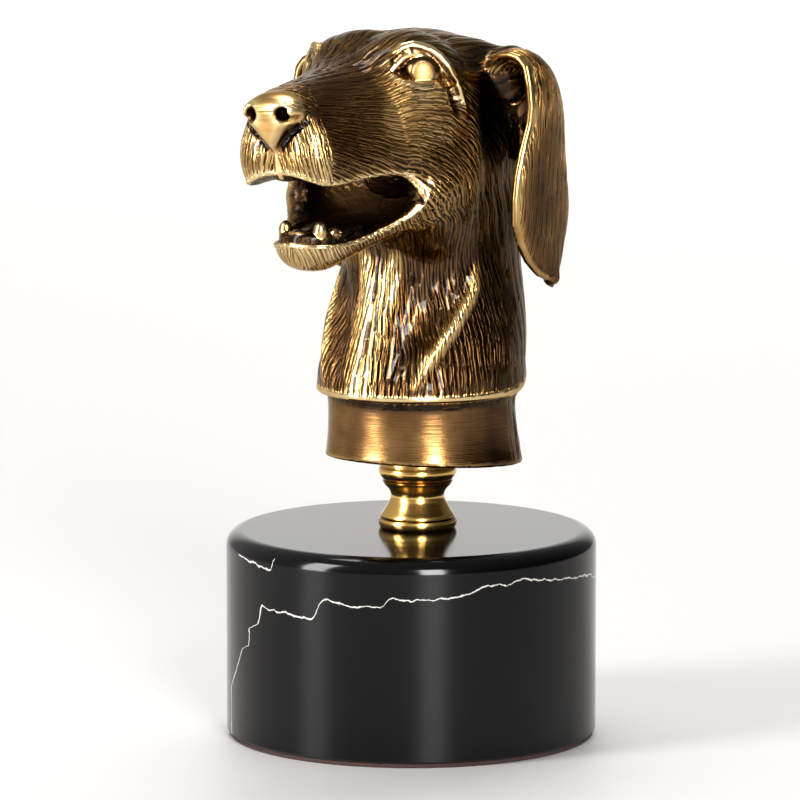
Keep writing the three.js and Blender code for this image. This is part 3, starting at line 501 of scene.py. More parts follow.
lid_groove = strand(
    [[8.8, -22.5, 91, 0.3], [10.8, -20.4, 93.8, 0.5], [11.9, -19.2, 95.4, 0.5], [13.3, -17.8, 96, 0.5],
     [14.5, -16.4, 95.8, 0.5], [15.8, -14.8, 95, 0.5], [17.6, -13.6, 93.2, 0.5], [19, -12.6, 91.2, 0.5],
     [20, -11.2, 88, 0.4]]
)
print(f"eye {2 * EYE_RADIUS:.1f} mm across with an iris of {2 * IRIS_RADIUS:.1f} mm")

# %% [markdown]
# ## Ears
# An ear leaves the skull level, turns over its own fold and hangs.
# Its middle line is drawn from the front, and at each place along it the flap has a front and a back edge
# and drops away behind. A rolled rim follows its front edge, and a web joins it to the skull.

# %% The ear's line and edges
EAR_LINE = [
    [15, 88], [21.5, 91], [25.5, 92.8], [29, 92], [31.3, 89.2], [32, 84.5],
    [31.6, 78], [30.7, 71], [29.8, 64], [29.3, 57], [29.1, 50], [29.2, 43.8],
]
ear_front = profile(
    [[0, 2.5], [1, 1.8], [2, 1.6], [3, 1.5], [4, 1.3], [5, 1], [6, 0.8], [7, -1.5], [8, -3],
     [9, -2.6], [10, 2.2], [10.6, 7], [11, 11.6]]
)
ear_back = profile(
    [[0, 12], [1, 12.5], [2, 13], [3, 13.4], [4, 14.2], [5, 15.2], [6, 16], [7, 16.6], [8, 18],
     [9, 19.3], [10, 18.4], [10.6, 17], [11, 15.4]]
)
ear_drop = profile(
    [[0, 3.4], [1, 4], [2, 4.6], [3, 4.8], [4, 4], [5, 2.9], [6, 2], [7, 1.4], [9, 1], [11, 1]]
)
EAR_THICK = 1.2
EAR_SWELL = 0.9
EAR_PARTS = 4


def rounded_line(points, parts):
    points = np.array(points, float)
    ends = [2 * points[0] - points[1], 2 * points[-1] - points[-2]]
    held = np.vstack([ends[0], points, ends[1]])
    out = []
    for i in range(len(points) - 1):
        a, b, c, d = held[i : i + 4]
        reach = [np.linalg.norm(q - p) ** 0.5 for p, q in ((a, b), (b, c), (c, d))]
        leave = ((b - a) / reach[0] - (c - a) / (reach[0] + reach[1]) + (c - b) / reach[1]) * reach[1]
        arrive = ((c - b) / reach[1] - (d - b) / (reach[1] + reach[2]) + (d - c) / reach[2]) * reach[1]
        for k in range(parts):
            t = k / parts
            curve = (2 * t**3 - 3 * t**2 + 1) * b + (t**3 - 2 * t**2 + t) * leave
            out.append(curve + (3 * t**2 - 2 * t**3) * c + (t**3 - t**2) * arrive)
    return np.array(out + [points[-1]])


ear_points = rounded_line(EAR_LINE, EAR_PARTS)
ear_length = np.concatenate([[0], np.cumsum(np.linalg.norm(np.diff(ear_points, axis=0), axis=1))])
print(f"ear {ear_length[-1]:.0f} mm long along its middle line")

# %% [markdown]
# Each point of the head finds its nearest place on that line, and on which side of it it lies.
# From the place come the flap's edges, its droop and its thickness there.

# %% The ear's flap
def along_ear(x, z):
    best = np.full(len(x), FAR)
    place = np.zeros(len(x))
    side = np.ones(len(x))
    for i, (a, b) in enumerate(zip(ear_points, ear_points[1:])):
        ex, ez = b - a
        t = np.clip(((x - a[0]) * ex + (z - a[1]) * ez) / (ex * ex + ez * ez), 0, 1)
        away = np.hypot(x - a[0] - ex * t, z - a[1] - ez * t)
        nearer = away < best
        best = np.where(nearer, away, best)
        place = np.where(nearer, (i + t) / EAR_PARTS, place)
        outside = (x - a[0]) * -ez + (z - a[1]) * ex >= 0
        side = np.where(nearer, np.where(outside, 1.0, -1.0), side)
    return best, place, side


def ear(x, y, z):
    def shape(x, y, z):
        best, place, side = along_ear(x, z)
        front, back = ear_front(place), ear_back(place)
        half = (back - front) / 2
        turn = np.clip((1 + (y - (front + back) / 2) / half) / 2, 0, 1.15)
        drop = ear_drop(place) * turn * turn
        slope = ear_drop(place) * turn / half
        full = EAR_THICK + EAR_SWELL * np.maximum(0, 1 - ((y - (front + back) / 2) / half) ** 2)
        thick = np.abs(side * best + drop) / np.hypot(1, slope) - full
        wide = np.abs(y - (front + back) / 2) - half
        return carve(thick, -wide, 1.6)

    return only_where((x >= 11) & (z >= 38) & (y >= -9) & (y <= 26), shape, x, y, z)


ear_root = strand([[15, 7, 88, 5.4], [20.4, 7, 89, 3.4]])
ear_web = strand([[21.5, 10, 90, 4.4], [24.6, 11.5, 83, 3.6], [25, 12, 75, 2.2], [23, 12, 69, 0.8]])
ear_hollow = egg([24, 0.5, 80], [3.6, 5, 12])
ear_rim = strand(
    [[20.8, 1.4, 91, 0.7], [24, 1.2, 92.9, 0.9], [26.9, 1.2, 93.1, 0.95], [29.5, 1.1, 92.2, 1],
     [31.1, 1, 90.4, 1], [31.9, 0.8, 86.6, 1], [32, 0.9, 81.3, 0.95], [31.5, 0.6, 77.6, 0.9],
     [30.4, -1.4, 71, 0.9], [29.7, -2.6, 66, 0.85], [29.4, -3.1, 61.3, 0.85], [29.2, -2.4, 56.6, 0.85],
     [29.1, 0.1, 52.3, 0.8], [29, 3.6, 48.6, 0.8], [29, 8, 45.3, 0.8], [29.2, 12.8, 43.4, 0.7]]
)
print(f"flap {ear_back(9.0) - ear_front(9.0):.0f} mm wide near its tip")

# %% [markdown]
# ## The whole head
# The same forms serve both sides, but the head is held a little cocked, left side up.
# So every point is first turned back by that tip, more the higher it lies above the neck.
# The skin comes first and by itself, because the finish asks later how deep the mouth lies under it.

# %% The skin
HEAD_COCK = math.radians(3.5)
COCK_FROM, COCK_FULL, COCK_LEVEL = 46, 70, 80
HEAD_LEAN = math.radians(3.8)
SEAT_RADIUS = 9.25
FOOT_EASE = 0.5


def uncocked(x, z):
    turn = HEAD_COCK * smooth01((z - COCK_FROM) / (COCK_FULL - COCK_FROM))
    up = z - COCK_LEVEL
    return x * np.cos(turn) + up * np.sin(turn), COCK_LEVEL - x * np.sin(turn) + up * np.cos(turn)


def foot(y, z):
    level = math.tan(HEAD_LEAN) * collar_radius(0.0) - 0.4
    return (y - neck_back(0.0)) * math.sin(HEAD_LEAN) + (z - level) * math.cos(HEAD_LEAN)


def seat(x, y, z):
    return np.maximum(np.hypot(x, y - STEM_BACK) - SEAT_RADIUS, z - SEAT_DEPTH)


def skin_form(px, y, z):
    x = np.abs(px)
    d = neck(px, y, z)
    d = blend(d, nape(px, y, z), 6)
    d = blend(d, skull(px, y, z), 5)
    d = blend(d, crown(px, y, z), 5)
    d = blend(d, temple(x, y, z), 4)
    d = blend(d, brow(x, y, z), 4)
    d = blend(d, cheek(x, y, z), 7)
    d = blend(d, muzzle(px, y, z), 6)
    d = blend(d, lip_pad(x, y, z), 3)
    d = blend(d, jaw(px, y, z), 5)
    d = blend(d, cheekbone(x, y, z), 4)
    d = carve(d, brow_furrow(px, y, z), 4)
    d = carve(d, neck_valley(x, y, z), 4)
    for fold in neck_folds:
        d = blend(d, fold(x, y, z), FOLD_MELT)
    return d


print(f"head cocked by {math.degrees(HEAD_COCK):.1f} degrees, collar cut at {math.degrees(HEAD_LEAN):.1f}")

# %% [markdown]
# The order matters: clay is added and cut as a modeller would, first collar and mouth,
# then nose and eyes, and the ears last. The foot and the stem's seat are cut through all of it.

# %% The head as one form
def head_form(wx, y, wz):
    px, z = uncocked(wx, wz)
    x = np.abs(px)
    d = skin_form(px, y, z)
    edge = fur_edge(y)
    hem = np.hypot(d + HEM_ROLL * 0.8, z - edge - HEM_ROLL * 0.6) - HEM_ROLL
    d = carve(d, z - edge, 1.2)
    d = blend(d, hem, 0.5)
    d = blend(d, mane(px, y, z), 3)
    d = np.minimum(d, collar(px, y, z))
    gap = mouth_gap(px, y, z)
    roll = lip_roll(d, gap, y)
    d = carve(d, gap, 1)
    d = carve(d, palate(px, y, z), 1)
    d = carve(d, gullet(px, y, z), 1.5)
    d = carve(d, jaw_hollow(px, y, z), 1)
    d = blend(d, roll, 0.8)
    d = blend(d, tongue(px, y, z), 1)
    d = blend(d, gum(x, y, z), 1)
    for tooth in teeth:
        d = blend(d, tooth(x, y, z), 0.5)
    d = blend(d, upper_teeth(px, y, z), 0.8)
    d = carve(d, philtrum(px, y, z), 0.8)
    d = blend(d, nose_top(px, y, z), 0.8)
    d = blend(d, nose_plate(px, y, z), 1)
    d = blend(d, nose_wing(x, y, z), 1)
    d = carve(d, np.minimum(nostril(x, y, z), nostril_tail(x, y, z)), 0.6)
    d = carve(d, nose_crease(x, y, z), 0.4)
    d = carve(d, eye_socket(x, y, z), 1.2)
    d = carve(d, eye_scoop(x, y, z), 1)
    d = carve(d, tear_hollow(x, y, z), 1.2)
    d = blend(d, eyeball(x, y, z), 0.3)
    d = np.minimum(d, iris(x, y, z))
    d = blend(d, brow_fold(x, y, z), 1.4)
    d = blend(d, upper_lid(x, y, z), 0.5)
    d = carve(d, lid_groove(x, y, z), 0.3)
    d = blend(d, lower_lid(x, y, z), 0.6)
    d = blend(d, second_lid(x, y, z), 0.9)
    d = carve(d, ear_hollow(x, y, z), 3)
    d = blend(d, ear_root(x, y, z), 3)
    d = blend(d, ear_web(x, y, z), 4)
    d = blend(d, ear(x, y, z), 1.6)
    d = blend(d, ear_rim(x, y, z), 0.6)
    d = carve(d, foot(y, wz), FOOT_EASE)
    return np.maximum(d, -seat(wx, y, wz))


skull_middle = head_form(np.zeros(1), np.zeros(1), np.full(1, 80.0))[0]
print(f"in the middle of the skull the clay is {-skull_middle:.0f} mm deep")

# %% [markdown]
# ## A mesh that is fine enough
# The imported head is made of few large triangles, as a solid for weight and contact should be.
# Eyelids and teeth need more vertices than that, and each of them should lie on the form.
# The form's slope tells which way its surface lies from a vertex, and the form's value how far.
# So a vertex slides there in short steps, while its neighbours pull it sideways to keep all evenly spread.

# %% Sliding vertices onto the form
STEP = 0.02
REACH = 0.5
LEAST_SLOPE = 0.2
PULL = 0.5


def slope_of(form, points, distance):
    out = np.empty_like(points)
    for axis in range(3):
        shift = np.zeros(3)
        shift[axis] = STEP
        out[:, axis] = (form(*(points + shift).T) - distance) / STEP
    return out


def settle(points, distance, slope):
    steep = np.maximum((slope**2).sum(1), LEAST_SLOPE)
    move = -distance[:, None] * slope / steep[:, None]
    length = np.linalg.norm(move, axis=1)
    return points + move * np.minimum(1, REACH / np.maximum(length, 1e-9))[:, None]


def relax(points, edges, normals, slide_only):
    total = np.zeros_like(points)
    count = np.zeros(len(points))
    for a, b in ((0, 1), (1, 0)):
        np.add.at(total, edges[:, a], points[edges[:, b]])
        np.add.at(count, edges[:, a], 1)
    pull = total / count[:, None] - points
    if slide_only:
        pull -= (pull * normals).sum(1)[:, None] * normals
    return points + PULL * pull


def unit(vectors):
    return vectors / np.maximum(np.linalg.norm(vectors, axis=1), 1e-9)[:, None]


print(f"a vertex moves at most {REACH} mm in one round")

# %% [markdown]
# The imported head's loose triangles are welded first, on a copy.
# A voxel remesh then gives it faces of one size all over, whatever the triangles were.

# %% The head in even cells
CELL = 0.68
WELD = 0.000001


def piece_from(name, mesh):
    piece = bpy.data.objects.new(name, mesh)
    bpy.context.scene.collection.objects.link(piece)
    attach(piece, "root")
    return piece


def even_cells(piece):
    coarser = piece.data
    coarser.update()
    remesh = piece.modifiers.new("even cells", "REMESH")
    remesh.mode = "VOXEL"
    remesh.voxel_size = CELL * MM
    ready = piece.evaluated_get(bpy.context.evaluated_depsgraph_get())
    finer = bpy.data.meshes.new_from_object(ready)
    piece.modifiers.clear()
    piece.data = finer
    bpy.data.meshes.remove(coarser)
    finer.materials.clear()
    return finer


coarse = bmesh.new()
coarse.from_mesh(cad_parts["dog_head"].data)
bmesh.ops.remove_doubles(coarse, verts=coarse.verts, dist=WELD)
rough = bpy.data.meshes.new("hound_head")
coarse.to_mesh(rough)
coarse.free()
head = piece_from("hound_head", rough)
print(f"packed head: {len(rough.vertices)} vertices, to be remeshed in cells of {CELL} mm")

# %% [markdown]
# Remesh and settling are done twice. The first turn finds the form, but leaves some folded faces
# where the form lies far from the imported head, as at the lips.
# The second turn starts so near to the form that few of them are left.

# %% The head's fine mesh
TURNS = 2
SETTLE_ROUNDS = 8
SLIDING_ROUNDS = 3


def corners_of(mesh):
    flat = np.empty(len(mesh.vertices) * 3)
    mesh.vertices.foreach_get("co", flat)
    return flat.reshape(-1, 3) / MM - [0, 0, HEAD_LEVEL]


def place_corners(mesh, clay):
    place = clay * MM + [0, 0, HEAD_LEVEL * MM]
    mesh.vertices.foreach_set("co", place.astype(np.float32).ravel())


def ends_of_edges(mesh):
    ends = np.empty(len(mesh.edges) * 2, int)
    mesh.edges.foreach_get("vertices", ends)
    return ends.reshape(-1, 2)


def settle_evenly(clay, rounds):
    ends = ends_of_edges(head_mesh)
    for i in range(rounds):
        distance = head_form(*clay.T)
        slope = slope_of(head_form, clay, distance)
        clay = settle(clay, distance, slope)
        if i < rounds - 1:
            clay = relax(clay, ends, unit(slope), slide_only=i >= rounds - SLIDING_ROUNDS)
    return clay


for turn in range(TURNS):
    head_mesh = even_cells(head)
    clay = settle_evenly(corners_of(head_mesh), SETTLE_ROUNDS)
    place_corners(head_mesh, clay)
print(f"{len(clay)} vertices, at most {np.abs(head_form(*clay.T)).max():.2f} mm off the form")

# %% [markdown]
# Eyelids are under a millimetre thick and the eyes are what one looks at first,
# so the faces round the eyes, the nose and the front teeth are cut in four and settle once more.

# %% Finer faces at eyes, nose and teeth
FINE_SPOTS = [
    (EYE + [1.5, -1.5, 0], 8.5),
    (np.array([3.0, -53.0, 81.0]), 8.0),
    (np.array([4.0, -43.0, 58.0]), 5.0),
]
FINE_ROUNDS = 4
tipped_x, tipped_z = uncocked(clay[:, 0], clay[:, 2])
spots = np.column_stack([np.abs(tipped_x), clay[:, 1], tipped_z])
is_near = np.any([np.linalg.norm(spots - middle, axis=1) < reach for middle, reach in FINE_SPOTS], axis=0)
cut = bmesh.new()
cut.from_mesh(head_mesh)
cut.verts.ensure_lookup_table()
near_edges = [e for e in cut.edges if is_near[e.verts[0].index] and is_near[e.verts[1].index]]
bmesh.ops.subdivide_edges(cut, edges=near_edges, cuts=1, use_grid_fill=True)
cut.to_mesh(head_mesh)
cut.free()
clay = settle_evenly(corners_of(head_mesh), FINE_ROUNDS)
vertex_count = len(clay)
triangles = sum(len(p.vertices) - 2 for p in head_mesh.polygons)
print(f"{len(near_edges)} edges halved, now {vertex_count} vertices and {triangles} triangles")

# %% [markdown]
# ## Where the surface is hidden and where it stands out
# An antique bronze is dark where a cloth never reached and bright where it rubbed.
# The form itself knows both. A point a few millimetres out from the skin is nearer to clay than that
# in a hollow, and a point under the skin is nearer to air than that on a ridge.
# Both are kept on the vertices as attributes, for the finish to read.

# %% Hollows and ridges
normals = unit(slope_of(head_form, clay, head_form(*clay.T)))


def keep(name, values):
    layer = head_mesh.attributes.new(name, "FLOAT", "POINT")
    layer.data.foreach_set("value", np.clip(values, 0, 1).astype(np.float32))


def shut_in(reach):
    return 1 - np.clip(head_form(*(clay + normals * reach).T) / reach, 0, 1)


def worn(depth):
    return 1 - np.clip(-head_form(*(clay - normals * depth).T) / depth, 0, 1)


hollow = 0.3 * shut_in(1) + 0.3 * shut_in(3) + 0.25 * shut_in(6) + 0.15 * shut_in(12)
ridge = 0.6 * worn(0.8) + 0.4 * worn(2)
typical = [np.percentile(values, 50) for values in (hollow, ridge)]
print(f"a typical vertex has {typical[0]:.2f} of hollow and {typical[1]:.2f} of ridge")

# %% [markdown]
# ## What is bare skin and what is fur
# Nose leather, lips, eyes, the mouth and the inside of the ears are smooth on the real casting.
# Each has a form above, so its distance says where it is.
# A mask is full up to a near distance from the form and gone at a far one.
# Where two forms are equally far there is a line between them, as between the lid and the fold over it.

# %% Nose and eyes as masks
tipped_x, tipped_z = uncocked(clay[:, 0], clay[:, 2])
side_x = np.abs(tipped_x)
back_y = clay[:, 1]
home = (side_x, back_y, tipped_z)


def close_to(form, near, far, at=home):
    return 1 - smooth01((form(*at) - near) / (far - near))


def line_between(one, other, wide):
    apart = np.abs(one(*home) - other(*home))
    return (1 - smooth01((apart - 0.3 * wide) / (0.7 * wide))) * close_to(one, 1.2, 1.8)


def most(*masks):
    return np.maximum.reduce(masks)


nose = most(*(close_to(form, 0.1, 0.6) for form in (nose_top, nose_wing, nose_plate)))
nostrils = most(close_to(nostril, 0.1, 0.6), close_to(nostril_tail, 0, 0.4))
eyes = most(close_to(eyeball, 0.5, 1.6), close_to(eye_socket, -0.6, 0.4))
disc = close_to(iris, 0.05, 0.4)
folds = most(close_to(brow_fold, 0.3, 0.9), close_to(upper_lid, 0.3, 0.8), close_to(lower_lid, 0.2, 0.9))
lid_line = line_between(brow_fold, upper_lid, 0.4)
fold_line = line_between(lower_lid, second_lid, 0.2)
pressed_in = most(close_to(nose_crease, 0, 0.5), close_to(lid_groove, 0, 0.4))
crease = most(pressed_in, close_to(tear_hollow, 0, 0.6) * 0.8, lid_line, fold_line)
print(f"nose {(nose > 0.5).sum()} vertices, eyes {(eyes > 0.5).sum()}, lid lines {(lid_line > 0.5).sum()}")

# %% [markdown]
# The mouth is all that was cut away under the skin, so the uncut skin's form tells how deep a place lies.
# Its walls are dark. Far inside, tongue and palate are cast flesh that looks a little red and wet.

# %% Mouth and teeth as masks
lips = close_to(mouth_gap, 0.12, 0.5)
under_skin = -skin_form(tipped_x, back_y, tipped_z)
by_the_mouth = (back_y < -8) & (tipped_z > 48) & (tipped_z < 78)
opened = smooth01((under_skin - 0.05) / 0.3) * by_the_mouth * (1 - nose)
turned_in = smooth01((0.3 - normals[:, 0] * np.sign(tipped_x)) / 0.3)
inner_wall = turned_in * close_to(mouth_gap, 1, 1.6) * (back_y > -34) * by_the_mouth
mouth = most(opened, inner_wall)
tooth = most(*(close_to(form, 0.1, 0.5) for form in teeth))
flesh = mouth * (1 - tooth) * smooth01((under_skin - 2) / 5)
print(f"mouth {(mouth > 0.5).sum()} vertices, teeth {(tooth > 0.5).sum()}")

# %% [markdown]
# The ear's inner side and the skull behind it stay dark: partly patina, partly painted shade, as the flap
# hangs over them.
# Its rolled rim and its thin edge are bright and smooth, because every cloth catches on them.

# %% Ears as masks
ear_place = along_ear(side_x, tipped_z)[1]
in_ear_zone = (side_x > 17) & (tipped_z > 40) & (back_y < 24)
on_ear = in_ear_zone * close_to(ear, 0.3, 1.2)
in_hollow = close_to(ear_hollow, 0.2, 1.5) * (1 - on_ear)
rim = close_to(ear_rim, 0.2, 0.7)
ear_edge = on_ear * smooth01((np.abs(normals[:, 1]) - 0.55) / 0.3)
inward = smooth01((-normals[:, 0] * np.sign(tipped_x) - 0.1) / 0.3)
# Dark patina and painted shade inside the ear and in the hollow under it.
inside_ear = most(on_ear * inward, in_hollow) * (1 - rim)
# Painted shade: skin a few millimetres beside the ear is darkened, where the flap shades it.
painted_shade_by_ear = close_to(ear, 3, 9) * (1 - on_ear) * smooth01((side_x - 14) / 4) * smooth01((tipped_z - 42) / 10)
print(f"ears {(on_ear > 0.5).sum()} vertices, {(inside_ear > 0.5).sum()} of them or of the hollow dark")

# %% [markdown]
# The collar is brushed metal with no hair. The coat's rolled hem stands over it as a bright line, with
# painted shade on the collar below it, and the mane hangs over both at the back.

# %% Neck and collar as masks
above_edge = tipped_z - fur_edge(back_y)
on_neck = 1 - smooth01((tipped_z - 58) / 26)
# Painted shade: the back half of the neck is darkened in colour, for the side that turns away from the lamps.
painted_flank_shade = smooth01((back_y + 7) / 9) * on_neck
in_valley = close_to(neck_valley, 0.0, 1.6)
fold_top = close_to(neck_folds[0], 0.0, 0.7) * 0.8
on_mane = close_to(mane, 0.2, 0.8, (tipped_x, back_y, tipped_z))
collar_bare = (1 - smooth01((above_edge + 0.9) / 0.5)) * (1 - on_mane)
hem = (1 - smooth01((np.abs(above_edge - 0.3) - 0.8) / 0.6)) * (1 - on_mane)
# Painted shade: a band of the collar just under the hem is darkened.
painted_shade_under_hem = smooth01((above_edge + 3) / 2.2) * collar_bare
print(f"collar {(collar_bare > 0.5).sum()} vertices, hem {(hem > 0.5).sum()}")

# %% [markdown]
# Fur is what is left. The masks go onto the vertices under the names that the finish reads.
# A cheek that hands have rubbed has lost part of its strokes, so it counts as partly bare.

# %% The masks kept on the mesh
rubbed_cheek = close_to(egg([17.5, -20, 82.5], [4.5, 6, 4]), -0.5, 3) * 0.45
smooth_metal = most(rim, collar_bare, hem, in_valley * 0.7, fold_top, rubbed_cheek, ear_edge * 0.85)
bare = most(nose, lips, eyes, folds, mouth, in_hollow * 0.6, smooth_metal)
furry = 1 - bare
# The hollow attribute holds patina in hollows and also painted shade: on the neck's back flank, inside the
# ear and beside it.
keep("hollow", most(hollow * 1.5, nostrils, crease, painted_flank_shade * 0.6, inside_ear, painted_shade_by_ear * 0.9))
keep("ridge", ridge * 1.5 * (1 - 0.7 * collar_bare) * (1 - 0.9 * crease) * (1 - 0.7 * inside_ear))
keep("matt", most(disc, nose * 0.6))
keep("fur", furry)
keep("brushed", collar_bare)
# One attribute holds the mouth's dark patina and the painted shade under the hem.
keep("mouth_and_shade_under_hem", most(mouth * (1 - tooth), painted_shade_under_hem * 0.9))
keep("flesh", flesh)
print(f"fur on {100 * furry.mean():.0f} in every 100 vertices")

# %% [markdown]
# Gold shows where fingers and cloth pass: on the snout, the chin, the cheekbone, the folds and every rim.
# The flank is only warmed a little, and whatever lies deep gets none.

# %% Rubbed gold
GOLD_PLACES = [
    (egg([0, -50, 74], [12, 6, 9]), 0.3, 3),
    (egg([0, -44, 52], [9, 8, 5]), 0.2, 4),
    (egg([16, -19, 82], [8, 10, 7], 0.3), 0.0, 5),
    (neck_folds[0], -0.2, 1.0),
    (neck_folds[1], -0.2, 2.6),
    (brow_fold, 0, 0.6),
    (upper_lid, 0, 0.5),
    (lower_lid, 0, 0.5),
    (ear_rim, -0.3, 0.2),
]
WARM_FLANK = egg([14, -20, 76], [10, 26, 13])
gold = most(*(close_to(*spot) for spot in GOLD_PLACES)) * (1 - mouth)
# Painted shade: the collar loses its gold towards the back, under the flank's painted shade.
collar_gold = collar_bare * 0.35 * (1 - 0.9 * painted_flank_shade)
gold = most(gold, tooth * 0.8, lips * (1 - mouth), hem, collar_gold, disc * 0.7)
warm = most(close_to(WARM_FLANK, 0, 6) * 0.4 * (1 - mouth), on_ear * 0.3)
gold = most(gold, nose * 0.8, warm) * (1 - nostrils) * (1 - crease) * (1 - inside_ear)
keep("rubbed", gold)
print(f"gold on {100 * (gold > 0.5).mean():.0f} in every 100 vertices")

# %% [markdown]
# ## The way the hair lies
# On the muzzle the hair runs back from the nose, over the skull it turns down, and on the neck it hangs.
# That is one sheet of rows bent round a corner inside the throat, so its two directions make a UV map:
# u counts the rows round the animal, and v runs along them.
# The ears, the jaw and the front of the snout have rows of their own.

# %% Rows of hair
BEND_Y, BEND_Z = -26.0, 58.0
BEND_RADIUS = 33.0
ROWS = 92
HAIR_LENGTH = 5.2
FRONT_WIDE = 10.0
HAIR_LEAN = 0.3
JAW_ROW = 1.3
JAW_LEAN = 0.8
JAW_SPREAD = 0.9
SNOUT_ROW = 1.45
SNOUT_LEAN = 0.3
SNOUT_SHORT = 1.6
EAR_ROWS = 1.15


def rows_on_head(x, y, z):
    ahead = y < BEND_Y
    below = z < BEND_Z
    turn = np.arctan2(np.maximum(y - BEND_Y, 0), np.maximum(z - BEND_Z, 0.001))
    arc = BEND_RADIUS * turn
    reach = np.hypot(y - BEND_Y, z - BEND_Z)
    along = np.where(ahead, y - BEND_Y, np.where(below, BEND_RADIUS * math.pi / 2 + BEND_Z - z, arc))
    out = np.where(ahead, z - BEND_Z, np.where(below, y - BEND_Y, reach))
    middle = np.interp(along, [-30, 0, 45, 60, 80, 112], [20, 20, 21, 27, 31, 31])
    wide = np.maximum(x, FRONT_WIDE * smooth01((-y - 43) / 5))
    around = np.arctan2(wide, out - middle)
    lean = HAIR_LEAN * np.minimum(along, 0)
    return ROWS * around / (2 * math.pi) - lean, along - (wide - x)


def rows_on_jaw(x, y, z):
    return (y + JAW_LEAN * (z - 50) + JAW_SPREAD * x) / JAW_ROW, -z


def rows_on_snout(x, y, z):
    return (x + y + SNOUT_LEAN * z) / SNOUT_ROW, -SNOUT_SHORT * z


def rows_on_ear(x, y, z):
    return y * EAR_ROWS, np.interp(ear_place, np.arange(len(ear_length)) / EAR_PARTS, ear_length)


print(f"{ROWS} rows of hair round the head, each hair {HAIR_LENGTH} mm long")

# %% [markdown]
# No graver keeps a row quite straight, so the rows waver, once slowly and once quickly.
# Each vertex is given the place it has in the rows of its own region.
# A face lies in one region only, that of its first corner, so that no face stretches from one map to another.

# %% The rows as a UV map
WAVER = [(0.4, 9.0), (0.25, 2.6)]
MAPS_APART = 200


def ripple(x, y, z, size):
    x, y, z = x / size, y / size, z / size
    first = np.sin(x * 1.7 + 1.3 * np.sin(y * 1.1)) + np.sin(y * 1.9 + 1.1 * np.sin(z * 1.3 + 2))
    return (first + np.sin(z * 1.6 + 1.2 * np.sin(x * 1.2 + 4) + y * 0.7)) / 3


under_lip = (tipped_z < gap_foot(back_y) + 1) & (back_y < BEND_Y + 2)
on_snout = (back_y < -47.5) & (tipped_z > 60) & (tipped_z < 84)
on_flap = (on_ear > 0.5) & (side_x > 20)
region = np.select([on_flap, under_lip, on_snout], [1, 2, 3], 0)
maps = [rows(side_x, back_y, tipped_z) for rows in (rows_on_head, rows_on_ear, rows_on_jaw, rows_on_snout)]
waver = sum(much * ripple(*clay.T, size) for much, size in WAVER)
rows_u = np.array([u + waver + MAPS_APART * i for i, (u, v) in enumerate(maps)])
rows_v = np.array([v for u, v in maps]) / HAIR_LENGTH
corners = np.empty(len(head_mesh.loops), int)
head_mesh.loops.foreach_get("vertex_index", corners)
face_start = np.empty(len(head_mesh.polygons), int)
head_mesh.polygons.foreach_get("loop_start", face_start)
face_size = np.empty(len(head_mesh.polygons), int)
head_mesh.polygons.foreach_get("loop_total", face_size)
corner_region = np.repeat(region[corners[face_start]], face_size)
flow = head_mesh.uv_layers.new(name="hair_flow")
uv = np.column_stack([rows_u[corner_region, corners], rows_v[corner_region, corners]])
flow.data.foreach_set("uv", uv.ravel().astype(np.float32))
print(f"head, ears, jaw and snout have {np.bincount(region)} vertices")

# %% [markdown]
# ## One stroke of the graver
# The maker cut the fur with short tapering strokes, no two alike but all along the flow.
# A table of small sums turns a place in the UV map into the depth of the stroke there.
# It is written once and used twice: numpy reads it to press the strokes into the mesh,
# and the finish reads it again, finer than the mesh can be, to darken and sharpen them.

# %% The strokes as a table of sums
STROKES = [
    ("row", "FLOOR", "u"),
    ("place", "FRACT", "u"),
    ("late1", "MULTIPLY", "row", 0.754877),
    ("late", "FRACT", "late1"),
    ("shift1", "MULTIPLY", "row", 0.569840),
    ("shift", "FRACT", "shift1"),
    ("often", "MULTIPLY_ADD", "late", 0.5, 0.8),
    ("run1", "MULTIPLY", "v", "often"),
    ("run", "MULTIPLY_ADD", "shift", 7.0, "run1"),
    ("stroke", "FLOOR", "run"),
    ("within", "FRACT", "run"),
    ("pick1", "MULTIPLY_ADD", "row", 0.437, "stroke"),
    ("pick2", "MULTIPLY", "pick1", 0.618034),
    ("pick", "FRACT", "pick2"),
    ("half", "MULTIPLY_ADD", "pick", 0.11, 0.07),
    ("left", "SUBTRACT", 1.0, "within"),
    ("bow1", "MULTIPLY", "within", "left"),
    ("bow2", "MULTIPLY", "bow1", 4.0),
    ("bow", "SQRT", "bow2"),
    ("width", "MULTIPLY_ADD", "half", "bow", 0.001),
    ("middle1", "MULTIPLY_ADD", "pick", 0.26, -0.13),
    ("lean1", "SUBTRACT", "within", 0.5),
    ("lean2", "SUBTRACT", "late", 0.5),
    ("lean", "MULTIPLY", "lean1", "lean2"),
    ("middle", "MULTIPLY_ADD", "lean", 0.4, "middle1"),
    ("off1", "SUBTRACT", "place", 0.5),
    ("off2", "SUBTRACT", "off1", "middle"),
    ("off", "ABSOLUTE", "off2"),
    ("near1", "DIVIDE", "off", "width"),
    ("near", "SUBTRACT", 1.0, "near1"),
    ("force1", "MULTIPLY", "pick", 5.7),
    ("force2", "FRACT", "force1"),
    ("force", "MULTIPLY_ADD", "force2", 0.8, 0.3),
    ("depth1", "MAXIMUM", "near", 0.0),
    ("depth", "MULTIPLY", "depth1", "force"),
    ("wide", "MULTIPLY", "width", 2.6),
    ("swell1", "DIVIDE", "off", "wide"),
    ("swell2", "SUBTRACT", 1.0, "swell1"),
    ("swell3", "MAXIMUM", "swell2", 0.0),
    ("swell", "MULTIPLY", "swell3", "swell3"),
]
print(f"{len(STROKES)} sums for each stroke")

# %% [markdown]
# Each operation has two meanings here: a numpy function, and the Math node of the same name.
# The two functions below walk down the table in the same way, one with arrays and one with sockets.

